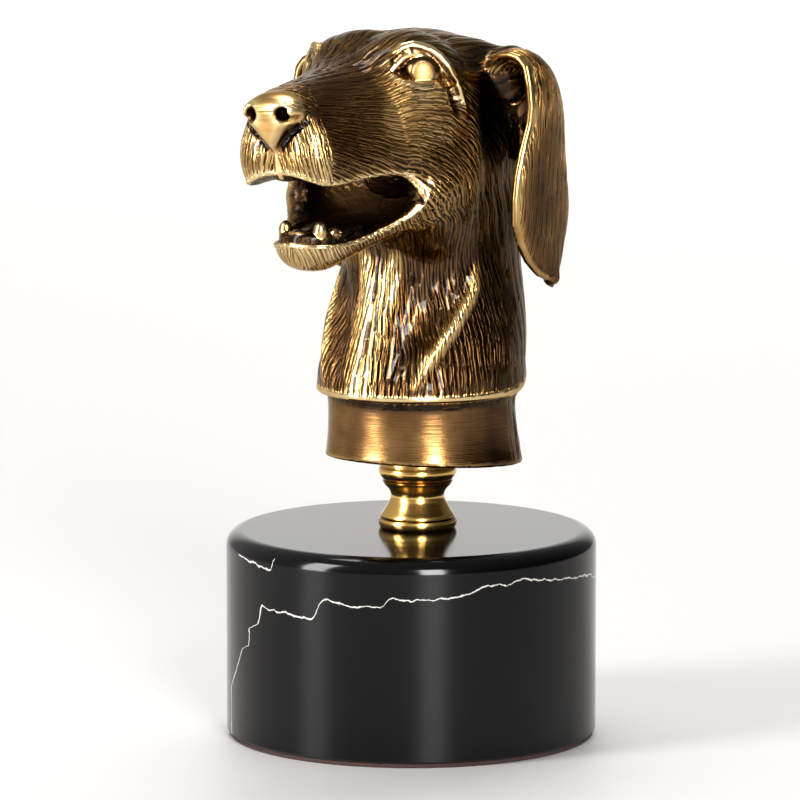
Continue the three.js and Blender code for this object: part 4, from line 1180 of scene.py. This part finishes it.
# %% The table read twice
SUMS = {
    "FLOOR": np.floor,
    "FRACT": lambda a: a - np.floor(a),
    "MULTIPLY": lambda a, b: a * b,
    "MULTIPLY_ADD": lambda a, b, c: a * b + c,
    "SUBTRACT": lambda a, b: a - b,
    "SQRT": np.sqrt,
    "ABSOLUTE": np.abs,
    "DIVIDE": lambda a, b: a / b,
    "MAXIMUM": np.maximum,
}


def strokes_in_numpy(u, v):
    got = {"u": u, "v": v}
    for name, operation, *inputs in STROKES:
        got[name] = SUMS[operation](*[got.get(i, i) for i in inputs])
    return got


def strokes_in_nodes(tree, u, v):
    got = {"u": u, "v": v}
    for name, operation, *inputs in STROKES:
        links = {i: got.get(value, value) for i, value in enumerate(inputs)}
        got[name] = add(tree, "ShaderNodeMath", links, operation=operation).outputs[0]
    return got


trial = strokes_in_numpy(np.array([0.5, 1.5, 2.5]), np.full(3, 0.4))["depth"]
print(f"depth of three strokes, in shares of the deepest: {trial.round(2)}")

# %% [markdown]
# Strokes as fine as hair would need millions of vertices, so only broad locks are pressed into the mesh.
# They are the same strokes, read on a coarser map. The line between lid and brow fold is pressed in too.

# %% Locks pressed into the head
LOCK_ACROSS = 0.4
LOCK_SHIFT = 0.3
LOCK_ALONG = 0.75
LOCK_DEPTH = 0.3
LID_LINE_DEPTH = 0.3
each = np.arange(vertex_count)
vertex_u, vertex_v = rows_u[region, each], rows_v[region, each]
lock = strokes_in_numpy(vertex_u * LOCK_ACROSS + LOCK_SHIFT, vertex_v * LOCK_ALONG)["swell"]
pressed = LOCK_DEPTH * lock * furry * (1 - 0.5 * gold) + LID_LINE_DEPTH * lid_line
clay = clay - normals * pressed[:, None]
place_corners(head_mesh, clay)
head_mesh.shade_smooth()
head_mesh.update()
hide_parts("dog_head")
print(f"locks up to {LOCK_DEPTH} mm deep over {100 * furry.mean():.0f} in 100 of the head")

# %% [markdown]
# ## Stone, stem and pad
# All three are turned things, so each is a profile that is spun round an upright line.
# Beside each rounded edge the profile has a point a hair further on, on the flat.
# Without it the polish of the flat faces would seem to bulge,
# since a smooth face bends its light between its corners.

# %% Spinning a profile
SPIN_STEPS = 192
SHARP_FROM = math.radians(40)


def turned(name, profile_points, centre_y=0.0, steps=SPIN_STEPS):
    shape = bmesh.new()
    spots = [shape.verts.new((r * MM, centre_y * MM, z * MM)) for r, z in profile_points]
    for a, b in zip(spots, spots[1:]):
        shape.edges.new((a, b))
    bmesh.ops.spin(
        shape, geom=shape.verts[:] + shape.edges[:], cent=(0, centre_y * MM, 0), axis=(0, 0, 1),
        dvec=(0, 0, 0), angle=2 * math.pi, steps=steps, use_merge=True, use_duplicate=False,
    )
    bmesh.ops.remove_doubles(shape, verts=shape.verts, dist=WELD)
    bmesh.ops.recalc_face_normals(shape, faces=shape.faces)
    mesh = bpy.data.meshes.new(name)
    shape.to_mesh(mesh)
    shape.free()
    mesh.shade_smooth()
    mesh.set_sharp_from_angle(angle=SHARP_FROM)
    return piece_from(name, mesh)


print(f"profiles will be spun in {SPIN_STEPS} steps")

# %% [markdown]
# The stone is 84 mm across with a rounded top edge and a fine chamfer at its foot.

# %% The marble base
EDGE_RADIUS = 3.6
EDGE_STEPS = 14
FOOT_CHAMFER = 0.5
HAIR = 0.06
stone_foot = stone_low.z
corner = [math.pi / 2 * i / EDGE_STEPS for i in range(EDGE_STEPS + 1)]
edge = [
    (STONE_RADIUS - EDGE_RADIUS * (1 - math.cos(t)), STONE_TOP - EDGE_RADIUS * (1 - math.sin(t)))
    for t in corner
]
stone = turned(
    "marble_base_polished",
    [(0, stone_foot), (STONE_RADIUS - FOOT_CHAMFER, stone_foot), (STONE_RADIUS, stone_foot + FOOT_CHAMFER)]
    + [(STONE_RADIUS, stone_foot + FOOT_CHAMFER + HAIR), (STONE_RADIUS, edge[0][1] - HAIR)]
    + edge
    + [(edge[-1][0] - HAIR, STONE_TOP), (0, STONE_TOP)],
)
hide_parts("marble_base")
print(f"stone {len(stone.data.polygons)} faces, {STONE_TOP - stone_foot:.1f} mm high")

# %% [markdown]
# The stem is a little spool: a bead at each end, each set off by a groove the width of a turning tool's tip.
# It is turned from a bar of brass, so its half profile says all of it.
# Its plug reaches up into the seat in the head, where it can't be seen.

# %% The brass stem
GROOVE_LOW = 2.45
GROOVE_HIGH = 11.05
PLUG_RADIUS = 8.45
STEM_STEPS = 128
STEM_PROFILE = [
    (8.2, 0), (8.6, 0.25), (8.86, 0.8), (8.92, 1.5), (8.86, 2.05), (8.62, 2.35), (8.4, GROOVE_LOW),
    (8.44, 2.62), (8.38, 2.95), (8.12, 3.4), (7.7, 4), (7.27, 4.7), (6.88, 5.4), (6.5, 6.05),
    (6.2, 6.7), (6.08, 7.3), (6.1, 7.8), (6.26, 8.35), (6.54, 8.85), (6.92, 9.3), (7.32, 9.7),
    (7.7, 10.15), (7.96, 10.5), (8, 10.78), (7.82, 10.95), (7.74, 11.08), (7.88, 11.28), (8.3, 11.7),
    (8.65, 12.2), (8.86, 12.8), (8.9, 13.3), (8.7, 14),
]
stem_points = [(0, STONE_TOP)] + [(r, STONE_TOP + z) for r, z in STEM_PROFILE]
plug_top = HEAD_LEVEL + SEAT_DEPTH
stem_points += [(PLUG_RADIUS, HEAD_LEVEL), (PLUG_RADIUS, plug_top), (0, plug_top)]
stem = turned("turned_brass_stem", stem_points, STEM_BACK, STEM_STEPS)
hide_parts("brass_stem")
print(f"stem {len(stem.data.polygons)} faces, {STEM_SHOWN:.1f} mm shows")

# %% [markdown]
# The pad is a disc of felt. Its edge is a little soft, so it catches no line of light.

# %% The felt pad
PAD_SOFT = 0.25
PAD_EDGE = 0.1
pad_radius, pad_top = pad_high.x, pad_high.z
pad_outline = [
    (0, pad_low.z), (pad_radius - PAD_SOFT, pad_low.z), (pad_radius, pad_low.z + PAD_SOFT),
    (pad_radius, pad_top - PAD_EDGE), (pad_radius, pad_top), (0, pad_top),
]
pad = turned("felt_pad", pad_outline)
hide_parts("base_pad")
print(f"pad {2 * pad_radius:.1f} mm across")

# %% [markdown]
# ## Antique bronze
# The head is bronze that was darkened with a patina and then rubbed back and lacquered.
# Gold shows on all that a cloth reaches, brown on the flanks and nearly black in each stroke and hollow.
# The lacquer lies over all of it, so even the black reflects the studio.
# Four helpers come first, for all finishes: one gives a noise its scale from the size of its grain in
# millimetres, one reads an attribute, one lays colours along a value, and one turns a table of sums
# into Math nodes. A sum marked with ! stays between 0 and 1.

# %% Helpers for finishes
def per_size(size):
    return 1 / (size * MM)


def read(tree, name):
    return add(tree, "ShaderNodeAttribute", attribute_name=name).outputs["Fac"]


def ramp(tree, value, stops):
    node = add(tree, "ShaderNodeValToRGB", {"Fac": value})
    colours = node.color_ramp.elements
    while len(colours) < len(stops):
        colours.new(0.5)
    for spot, (at, hex_code) in zip(colours, stops):
        spot.position = at
        spot.color = linear(hex_code)
    return node.outputs["Color"]


def math_steps(tree, start, table):
    got = dict(start)
    for name, operation, *inputs in table:
        clamp = operation.endswith("!")
        links = {i: got.get(value, value) for i, value in enumerate(inputs)}
        node = add(tree, "ShaderNodeMath", links, operation=operation.rstrip("!"), use_clamp=clamp)
        got[name] = node.outputs[0]
    return got


print(f"a grain of 8 mm has scale {per_size(8):.0f}")

# %% [markdown]
# Four patterns vary the bronze: slow clouds in the patina, the brush's lines round the collar,
# the lumps of a wet tongue, and a second, finer set of strokes between the first ones.

# %% The bronze's patterns
CLOUD = 8.333
BRUSH_LINE = 0.19231
BRUSH_LENGTH = 16.667
LUMP = 2.381
bronze, tree, shader = new_finish("patinated_cast_bronze")
flow_map = add(tree, "ShaderNodeUVMap", uv_map="hair_flow")
parts = add(tree, "ShaderNodeSeparateXYZ", {"Vector": flow_map.outputs["UV"]})
place = add(tree, "ShaderNodeTexCoord").outputs["Object"]
cloud = add(tree, "ShaderNodeTexNoise", {"Vector": place, "Scale": per_size(CLOUD), "Detail": 3.0})
brush_scale = (per_size(BRUSH_LENGTH), per_size(BRUSH_LENGTH), per_size(BRUSH_LINE))
brush_place = add(tree, "ShaderNodeMapping", {"Vector": place, "Scale": brush_scale}).outputs["Vector"]
brush = add(tree, "ShaderNodeTexNoise", {"Vector": brush_place, "Scale": 1.0, "Detail": 2.0})
lumps = add(tree, "ShaderNodeTexNoise", {"Vector": place, "Scale": per_size(LUMP), "Detail": 2.0})
second = math_steps(
    tree,
    {"u": parts.outputs["X"], "v": parts.outputs["Y"]},
    [("u2", "MULTIPLY_ADD", "u", 1.61, 17.3), ("v2", "MULTIPLY_ADD", "v", 1.37, 3.1)],
)
coarse_strokes = strokes_in_nodes(tree, parts.outputs["X"], parts.outputs["Y"])
fine_strokes = strokes_in_nodes(tree, second["u2"], second["v2"])
print(f"{len(tree.nodes)} nodes draw clouds, brush lines, lumps and strokes")

# %% [markdown]
# Now a table of sums makes one tone from all of it, from 0 for black to 1 for gold.
# `cut` is a stroke, `shade` a hollow's patina together with the painted shade kept in the same attribute,
# `wet` the tongue's least brightness.
# `furrow` and `bump` are the height of the surface, and `shine` is its roughness,
# which is least on rubbed metal and most on the iris and the nose.

# %% The bronze's tone
MASKS = ["hollow", "ridge", "fur", "brushed", "mouth_and_shade_under_hem", "rubbed", "matt", "flesh"]
tone = math_steps(
    tree,
    {
        "coarse": coarse_strokes["depth"], "fine": fine_strokes["depth"],
        "swell": coarse_strokes["swell"], "swell_fine": fine_strokes["swell"],
        "cloud": cloud.outputs["Fac"], "brush": brush.outputs["Fac"], "lumps": lumps.outputs["Fac"],
    }
    | {name: read(tree, name) for name in MASKS},
    [
        ("edge1", "MULTIPLY!", "coarse", 2.2),
        ("edge2", "MULTIPLY!", "fine", 1.6),
        ("edge3", "MULTIPLY", "edge2", 0.55),
        ("cut1", "MAXIMUM", "edge1", "edge3"),
        ("cut2", "MULTIPLY", "cut1", "fur"),
        ("deep", "MULTIPLY_ADD", "rubbed", -0.4, 1.0),
        ("cut", "MULTIPLY", "cut2", "deep"),
        ("tone0", "MULTIPLY_ADD", "rubbed", 0.38, 0.32),
        ("tone1", "MULTIPLY_ADD", "ridge", 0.5, "tone0"),
        ("shade1", "MULTIPLY_ADD", "rubbed", 0.15, -0.25),
        ("shade", "MULTIPLY", "hollow", "shade1"),
        ("tone2", "ADD", "tone1", "shade"),
        ("tone3", "MULTIPLY_ADD", "cut", -0.65, "tone2"),
        ("cloud1", "SUBTRACT", "cloud", 0.5),
        ("tone4", "MULTIPLY_ADD", "cloud1", 0.4, "tone3"),
        # Darkens the mouth's patina, and the painted shade under the hem.
        ("dull", "MULTIPLY_ADD", "mouth_and_shade_under_hem", -0.7, 1.0),
        ("tone5", "MULTIPLY!", "tone4", "dull"),
        ("wet", "MULTIPLY", "flesh", 0.38),
        ("tone", "MAXIMUM", "tone5", "wet"),
        ("furrow1", "MULTIPLY", "swell_fine", 0.45),
        ("furrow2", "MAXIMUM", "swell", "furrow1"),
        ("furrow3", "MULTIPLY_ADD", "cut1", 0.35, "furrow2"),
        ("furrow", "MULTIPLY", "furrow3", "fur"),
        ("bump1", "MULTIPLY_ADD", "cloud", 0.08, 1.0),
        ("bump2", "MULTIPLY_ADD", "furrow", -1.0, "bump1"),
        ("brush1", "MULTIPLY", "brush", "brushed"),
        ("bump3", "MULTIPLY_ADD", "brush1", 0.1, "bump2"),
        ("lumps1", "MULTIPLY", "lumps", "mouth_and_shade_under_hem"),
        ("bump", "MULTIPLY_ADD", "lumps1", 2.4, "bump3"),
        ("shine1", "MULTIPLY_ADD", "tone", -0.04, 0.25),
        ("shine2", "MULTIPLY_ADD", "brushed", -0.04, "shine1"),
        ("shine3", "MULTIPLY_ADD", "mouth_and_shade_under_hem", 0.12, "shine2"),
        ("shine", "MULTIPLY_ADD", "matt", 0.2, "shine3"),
        ("bare_metal", "MULTIPLY_ADD", "flesh", -0.4, 1.0),
    ],
)
print(f"{len(tree.nodes)} nodes work out the bronze's tone")

# %% [markdown]
# The tone picks the colour, from black-brown patina over brown bronze to rubbed gold.
# The strokes' fine shape goes into the bump, half a millimetre for its whole range.
# Metal tints what it mirrors, and a thin clear coat on top of it is the lacquer.

# %% The bronze's colour and relief
RELIEF = 0.5
PATINA_TO_GOLD = [(0.0, "#150e09"), (0.2, "#342212"), (0.42, "#6d4d2a"), (0.65, "#aa864f"), (1.0, "#e2c690")]
colour = ramp(tree, tone["tone"], PATINA_TO_GOLD)
relief = add(tree, "ShaderNodeBump", {"Height": tone["bump"], "Strength": 1.0, "Distance": RELIEF * MM})
tree.links.new(colour, shader.inputs["Base Color"])
tree.links.new(tone["shine"], shader.inputs["Roughness"])
tree.links.new(tone["bare_metal"], shader.inputs["Metallic"])
tree.links.new(relief.outputs["Normal"], shader.inputs["Normal"])
tune(shader, {"Coat Weight": 0.2, "Coat Roughness": 0.08, "Specular Tint": linear("#d8cab4")})
head.data.materials.append(bronze)
print(f"bronze of {len(tree.nodes)} nodes")

# %% [markdown]
# ## Turned brass
# The stem was polished in the lathe, which leaves rings too fine to count.
# Its grooves hold a little dark wax.
# The rings are drawn a quarter of a millimetre apart, far coarser than real ones, so that they show at all.

# %% The brass's finish
RING = 0.2381
RING_DRIFT = 33.333
RING_DEPTH = 0.02
WAX_WIDE = 0.45
brass, tree, shader = new_finish("lathe_polished_brass")
place = add(tree, "ShaderNodeTexCoord").outputs["Object"]
ring_scale = (per_size(RING_DRIFT), per_size(RING_DRIFT), per_size(RING))
ring_place = add(tree, "ShaderNodeMapping", {"Vector": place, "Scale": ring_scale}).outputs["Vector"]
rings = add(tree, "ShaderNodeTexNoise", {"Vector": ring_place, "Scale": 1.0, "Detail": 2.0}).outputs["Fac"]
height = add(tree, "ShaderNodeSeparateXYZ", {"Vector": place}).outputs["Z"]
around_groove = math_steps(
    tree,
    {"z": height},
    [
        ("low1", "SUBTRACT", "z", (STONE_TOP + GROOVE_LOW) * MM),
        ("low2", "ABSOLUTE", "low1"),
        ("high1", "SUBTRACT", "z", (STONE_TOP + GROOVE_HIGH) * MM),
        ("high2", "ABSOLUTE", "high1"),
        ("near", "MINIMUM", "low2", "high2"),
        ("wax", "DIVIDE!", "near", WAX_WIDE * MM),
    ],
)
colour = ramp(tree, around_groove["wax"], [(0.0, "#2a1b0c"), (0.5, "#a37838"), (1.0, "#e0b566")])
relief = add(tree, "ShaderNodeBump", {"Height": rings, "Strength": 1.0, "Distance": RING_DEPTH * MM})
tree.links.new(colour, shader.inputs["Base Color"])
tree.links.new(relief.outputs["Normal"], shader.inputs["Normal"])
tune(shader, {"Metallic": 1.0, "Roughness": 0.2})
stem.data.materials.append(brass)
print(f"brass of {len(tree.nodes)} nodes, wax {WAX_WIDE} mm to each side of a groove")

# %% [markdown]
# ## Black marble
# The stone is a deep black marble, ground and polished until it mirrors the room.
# Thin pale veins of calcite wander through it.
# The main one climbs the front at the left and runs off to the right. Its way is drawn with two curves:
# one gives its height for each place round the stone, and one its place for each height.
# A short spur has a curve of its own. All places are millimetres along the stone's side and up.

# %% Where the veins run
VIEW_TURN = math.radians(35)
WANDER = 2.381
PATCH = 6.667
VEIN_SHAKE = 2.0
VEIN_RUN = [
    (-38.7, 33.8), (-35.8, 33.2), (-28.8, 33.1), (-23.2, 32.4), (-22.0, 34.5), (-21.2, 36.8), (-18.9, 37.5),
    (-15.4, 36.2), (-9.2, 36.1), (-6.0, 36.6), (-5.1, 38.4), (-1.7, 38.0), (3.8, 38.0), (11.7, 38.6),
    (17.0, 40.6), (23.1, 40.5), (26.7, 41.3), (37.7, 39.9), (53.3, 38.6), (61.0, 36.5), (74.0, 31.0),
    (86.0, 33.5), (97.0, 24.0), (112.0, 17.0), (125.0, 19.0),
]
VEIN_SPUR = [(-49.7, 43.6), (-42.0, 43.0), (-35.6, 42.2), (-34.4, 44.8)]
VEIN_CLIMB = [
    (2.5, -55.5), (12.0, -55.9), (16.6, -51.6), (22.6, -47.5),
    (24.1, -44.0), (27.9, -44.0), (29.4, -40.2), (33.8, -38.8),
]


def curve_through(tree, value, points, low, high, floor, ceiling):
    node = add(tree, "ShaderNodeFloatCurve")
    line = node.mapping.curves[0]
    placed = [((x - low) / (high - low), (y - floor) / (ceiling - floor)) for x, y in points]
    while len(line.points) < len(placed):
        line.points.new(0.5, 0.5)
    for spot, (x, y) in zip(line.points, placed):
        spot.location = (x, y)
        spot.handle_type = "VECTOR"
    node.mapping.update()
    to_share = [("past", "SUBTRACT", "v", low), ("share", "DIVIDE!", "past", high - low)]
    share = math_steps(tree, {"v": value}, to_share)["share"]
    tree.links.new(share, node.inputs["Value"])
    return math_steps(tree, {"v": node.outputs[0]}, [("y", "MULTIPLY_ADD", "v", ceiling - floor, floor)])["y"]


print(f"the main vein runs {VEIN_RUN[-1][0] - VEIN_RUN[0][0]:.0f} mm round the stone")

# %% [markdown]
# A float curve node holds each drawn line. A little noise shakes the place that it is read at,
# because a crack in stone is never smooth.

# %% The veins' lines
marble, tree, shader = new_finish("polished_black_marble")
place = add(tree, "ShaderNodeTexCoord").outputs["Object"]
facing = add(tree, "ShaderNodeMapping", {"Vector": place, "Rotation": (0, 0, -VIEW_TURN)}).outputs["Vector"]
parts = add(tree, "ShaderNodeSeparateXYZ", {"Vector": facing})
wander_settings = {"Vector": place, "Scale": per_size(WANDER), "Detail": 4.0, "Roughness": 0.65}
wander = add(tree, "ShaderNodeTexNoise", wander_settings)
patchy = add(tree, "ShaderNodeTexNoise", {"Vector": place, "Scale": per_size(PATCH), "Detail": 2.0})
ground = math_steps(
    tree,
    {"x": parts.outputs["X"], "y": parts.outputs["Y"], "z": parts.outputs["Z"], "n": wander.outputs["Fac"]},
    [
        ("front", "MULTIPLY", "y", -1.0),
        ("angle", "ARCTAN2", "x", "front"),
        ("shake", "SUBTRACT", "n", 0.5),
        ("arc0", "MULTIPLY", "angle", STONE_RADIUS),
        ("arc", "MULTIPLY_ADD", "shake", VEIN_SHAKE, "arc0"),
        ("up0", "MULTIPLY", "z", 1 / MM),
        ("up", "MULTIPLY_ADD", "shake", VEIN_SHAKE, "up0"),
    ],
)
vein_up = curve_through(tree, ground["arc"], VEIN_RUN, -60, 130, 0, 47)
spur_up = curve_through(tree, ground["arc"], VEIN_SPUR, -50, -34, 0, 47)
vein_along = curve_through(tree, ground["up"], VEIN_CLIMB, 0, 36, -70, 0)
print(f"veins through {len(VEIN_RUN) + len(VEIN_SPUR) + len(VEIN_CLIMB)} places")

# %% [markdown]
# A vein is where a point is nearer to one of the three lines than the vein is wide.
# Past its end a line has to fade, so the distance grows fast there.
# The width follows a patchy noise, because calcite swells and starves along a crack.

# %% Veins in the marble
CLIMB_END = VEIN_CLIMB[-1][0]
RUN_START = VEIN_RUN[0][0] - 0.2
SPUR_MIDDLE = VEIN_SPUR[1][0]
SPUR_HALF = 7.7
END_SHARP = 4.0
END_FADE = 9.0
veins = math_steps(
    tree,
    {
        "up": ground["up"], "arc": ground["arc"], "run": vein_up, "climb": vein_along,
        "spur": spur_up, "patchy": patchy.outputs["Fac"],
    },
    [
        ("run1", "SUBTRACT", "up", "run"),
        ("run2", "ABSOLUTE", "run1"),
        ("climb1", "SUBTRACT", "arc", "climb"),
        ("climb2", "ABSOLUTE", "climb1"),
        ("over1", "SUBTRACT", "up", CLIMB_END),
        ("over2", "MULTIPLY!", "over1", END_SHARP),
        ("climb3", "MULTIPLY_ADD", "over2", END_FADE, "climb2"),
        ("short1", "SUBTRACT", RUN_START, "arc"),
        ("short2", "MULTIPLY!", "short1", END_SHARP),
        ("run3", "MULTIPLY_ADD", "short2", END_FADE, "run2"),
        ("near1", "MINIMUM", "run3", "climb3"),
        ("spur1", "SUBTRACT", "up", "spur"),
        ("spur2", "ABSOLUTE", "spur1"),
        ("past1", "SUBTRACT", "arc", SPUR_MIDDLE),
        ("past2", "ABSOLUTE", "past1"),
        ("past3", "SUBTRACT", "past2", SPUR_HALF),
        ("past4", "MULTIPLY!", "past3", END_SHARP),
        ("spur3", "MULTIPLY_ADD", "past4", END_FADE, "spur2"),
        ("near", "MINIMUM", "near1", "spur3"),
        ("thin", "MULTIPLY_ADD", "patchy", 0.4, 0.02),
        ("vein1", "DIVIDE", "near", "thin"),
        ("vein2", "SUBTRACT!", 1.0, "vein1"),
        ("vein", "MULTIPLY", "vein2", 0.75),
    ],
)
colour = ramp(tree, veins["vein"], [(0.0, "#020202"), (1.0, "#e6e2da")])
tree.links.new(colour, shader.inputs["Base Color"])
tune(shader, {"Roughness": 0.12, "Specular IOR Level": 0.22})
stone.data.materials.append(marble)
print(f"marble of {len(tree.nodes)} nodes")

# %% [markdown]
# ## Felt
# The pad is cut from a sheet of dark pressed wool, so that the stone doesn't scratch a table.
# It could be given fibres, but only its edge shows, as a dull dark line.
# So a fluffy noise between two browns and a high roughness are enough.

# %% The felt's finish
FLUFF = 0.4
felt, tree, shader = new_finish("pressed_wool_felt")
place = add(tree, "ShaderNodeTexCoord").outputs["Object"]
fluff = add(tree, "ShaderNodeTexNoise", {"Vector": place, "Scale": per_size(FLUFF), "Detail": 2.0})
colour = ramp(tree, fluff.outputs["Fac"], [(0.3, "#150c0b"), (0.7, "#38201c")])
tree.links.new(colour, shader.inputs["Base Color"])
tune(shader, {"Roughness": 0.95})
pad.data.materials.append(felt)
print(f"felt with fluff of {FLUFF} mm")

# %% [markdown]
# ## The studio
# The figure stands on a wide pale floor under large soft lights, as in a shop's studio.
# The camera stands 35 degrees to the dog's left and looks a little down, with a long lens.
# Its three directions are worked out first, because the lamps are placed by them too.

# %% Camera
VIEW_DIP = math.radians(8.67)
VIEW_DISTANCE = 1.5
LENS = 298.2
SENSOR = 36
SEES_TO = 20
AIM_UP = 0.07641
AIM_LEFT = 0.00256
right = Vector((math.cos(VIEW_TURN), math.sin(VIEW_TURN), 0))
back = Vector(
    (math.sin(VIEW_TURN) * math.cos(VIEW_DIP), -math.cos(VIEW_TURN) * math.cos(VIEW_DIP), math.sin(VIEW_DIP))
)
up = back.cross(right)
aim = Vector((0, 0, AIM_UP)) - right * AIM_LEFT
eye = bpy.data.cameras.new("studio_camera")
eye.lens = LENS
eye.sensor_width = SENSOR
eye.clip_end = SEES_TO
camera = bpy.data.objects.new("studio_camera", eye)
turned_to = Matrix((right, up, back)).transposed().to_4x4()
camera.matrix_world = Matrix.Translation(aim + back * VIEW_DISTANCE) @ turned_to
bpy.context.scene.collection.objects.link(camera)
bpy.context.scene.camera = camera
print(f"camera at {camera.location[:]}")

# %% [markdown]
# A disc of paper, so wide that its rim never comes into view, is the floor.

# %% Floor
FLOOR_RADIUS = 7
ground_shape = bmesh.new()
bmesh.ops.create_circle(ground_shape, cap_ends=True, radius=FLOOR_RADIUS, segments=96)
ground_mesh = bpy.data.meshes.new("studio_floor")
ground_shape.to_mesh(ground_mesh)
ground_shape.free()
floor = bpy.data.objects.new("studio_floor", ground_mesh)
bpy.context.scene.collection.objects.link(floor)
paper, tree, shader = new_finish("white_paper")
tune(shader, {"Base Color": linear("#aaa8a6"), "Roughness": 0.5, "Specular IOR Level": 0.2})
floor.data.materials.append(paper)
print(f"floor {2 * FLOOR_RADIUS} m across")

# %% [markdown]
# Bronze and polished stone show the lamps themselves, so the lamps are shaped like what the stone reflects:
# two tall strips, one to the left and one beside the camera. A small lamp stands over the head,
# and a broad one behind washes the floor's far part, without a reflection of its own.

# %% Lights
LIT_POINT = Vector((0, 0, 0.09))


def softbox(name, direction, distance, size, power):
    lamp = bpy.data.lights.new(name, "AREA")
    lamp.shape = "RECTANGLE"
    lamp.size, lamp.size_y = size
    lamp.energy = power
    way = (right * direction[0] + up * direction[1] + back * direction[2]).normalized()
    holder = bpy.data.objects.new(name, lamp)
    holder.location = LIT_POINT + way * distance
    holder.rotation_euler = way.to_track_quat("Z", "Y").to_euler()
    bpy.context.scene.collection.objects.link(holder)
    return holder


softbox("strip_left", (-0.86, 0.26, 0.51), 1.3, (0.38, 1.1), 32)
softbox("strip_right", (0.22, 0.12, 0.98), 1.7, (0.42, 1.0), 48)
softbox("top", (-0.1, 1, -0.1), 1.3, (0.7, 0.4), 9)
wash = softbox("backdrop_wash", (0, 0.62, -0.78), 3.2, (4.0, 2.0), 195)
wash.rotation_euler = (0, 0, 0)
wash.visible_glossy = False
print("lamps", sorted(lamp.name for lamp in bpy.data.lights))

# %% [markdown]
# The room itself gives the soft rest of the light. It is brighter on one side, as by a window,
# and glows behind the figure, so that the floor fades into it without a line.

# %% The room's light
sky = bpy.data.worlds.new("pale_room")
bpy.context.scene.world = sky
sky.use_nodes = True
tree = sky.node_tree
bright_way = (-0.7 * right + 0.5 * up).normalized()
far_way = Vector((-back.x, -back.y, 0.12)).normalized()
way = add(tree, "ShaderNodeTexCoord").outputs["Generated"]
to_side = add(tree, "ShaderNodeVectorMath", {0: way, 1: bright_way}, operation="DOT_PRODUCT")
to_back = add(tree, "ShaderNodeVectorMath", {0: way, 1: far_way}, operation="DOT_PRODUCT")
glow = math_steps(
    tree,
    {"side": to_side.outputs["Value"], "far": to_back.outputs["Value"]},
    [
        ("window", "MULTIPLY_ADD!", "side", 0.6, 0.4),
        ("room", "MULTIPLY_ADD", "window", 0.55, 0.06),
        ("behind", "MULTIPLY_ADD!", "far", 8.0, -7.0),
        ("glow", "MULTIPLY_ADD", "behind", 1.1, "room"),
    ],
)
backdrop = tree.nodes["Background"]
backdrop.inputs["Color"].default_value = linear("#fbfaf8")
tree.links.new(glow["glow"], backdrop.inputs["Strength"])
bpy.context.scene.view_settings.view_transform = "Standard"
print(f"room lit by {len(tree.nodes)} nodes")
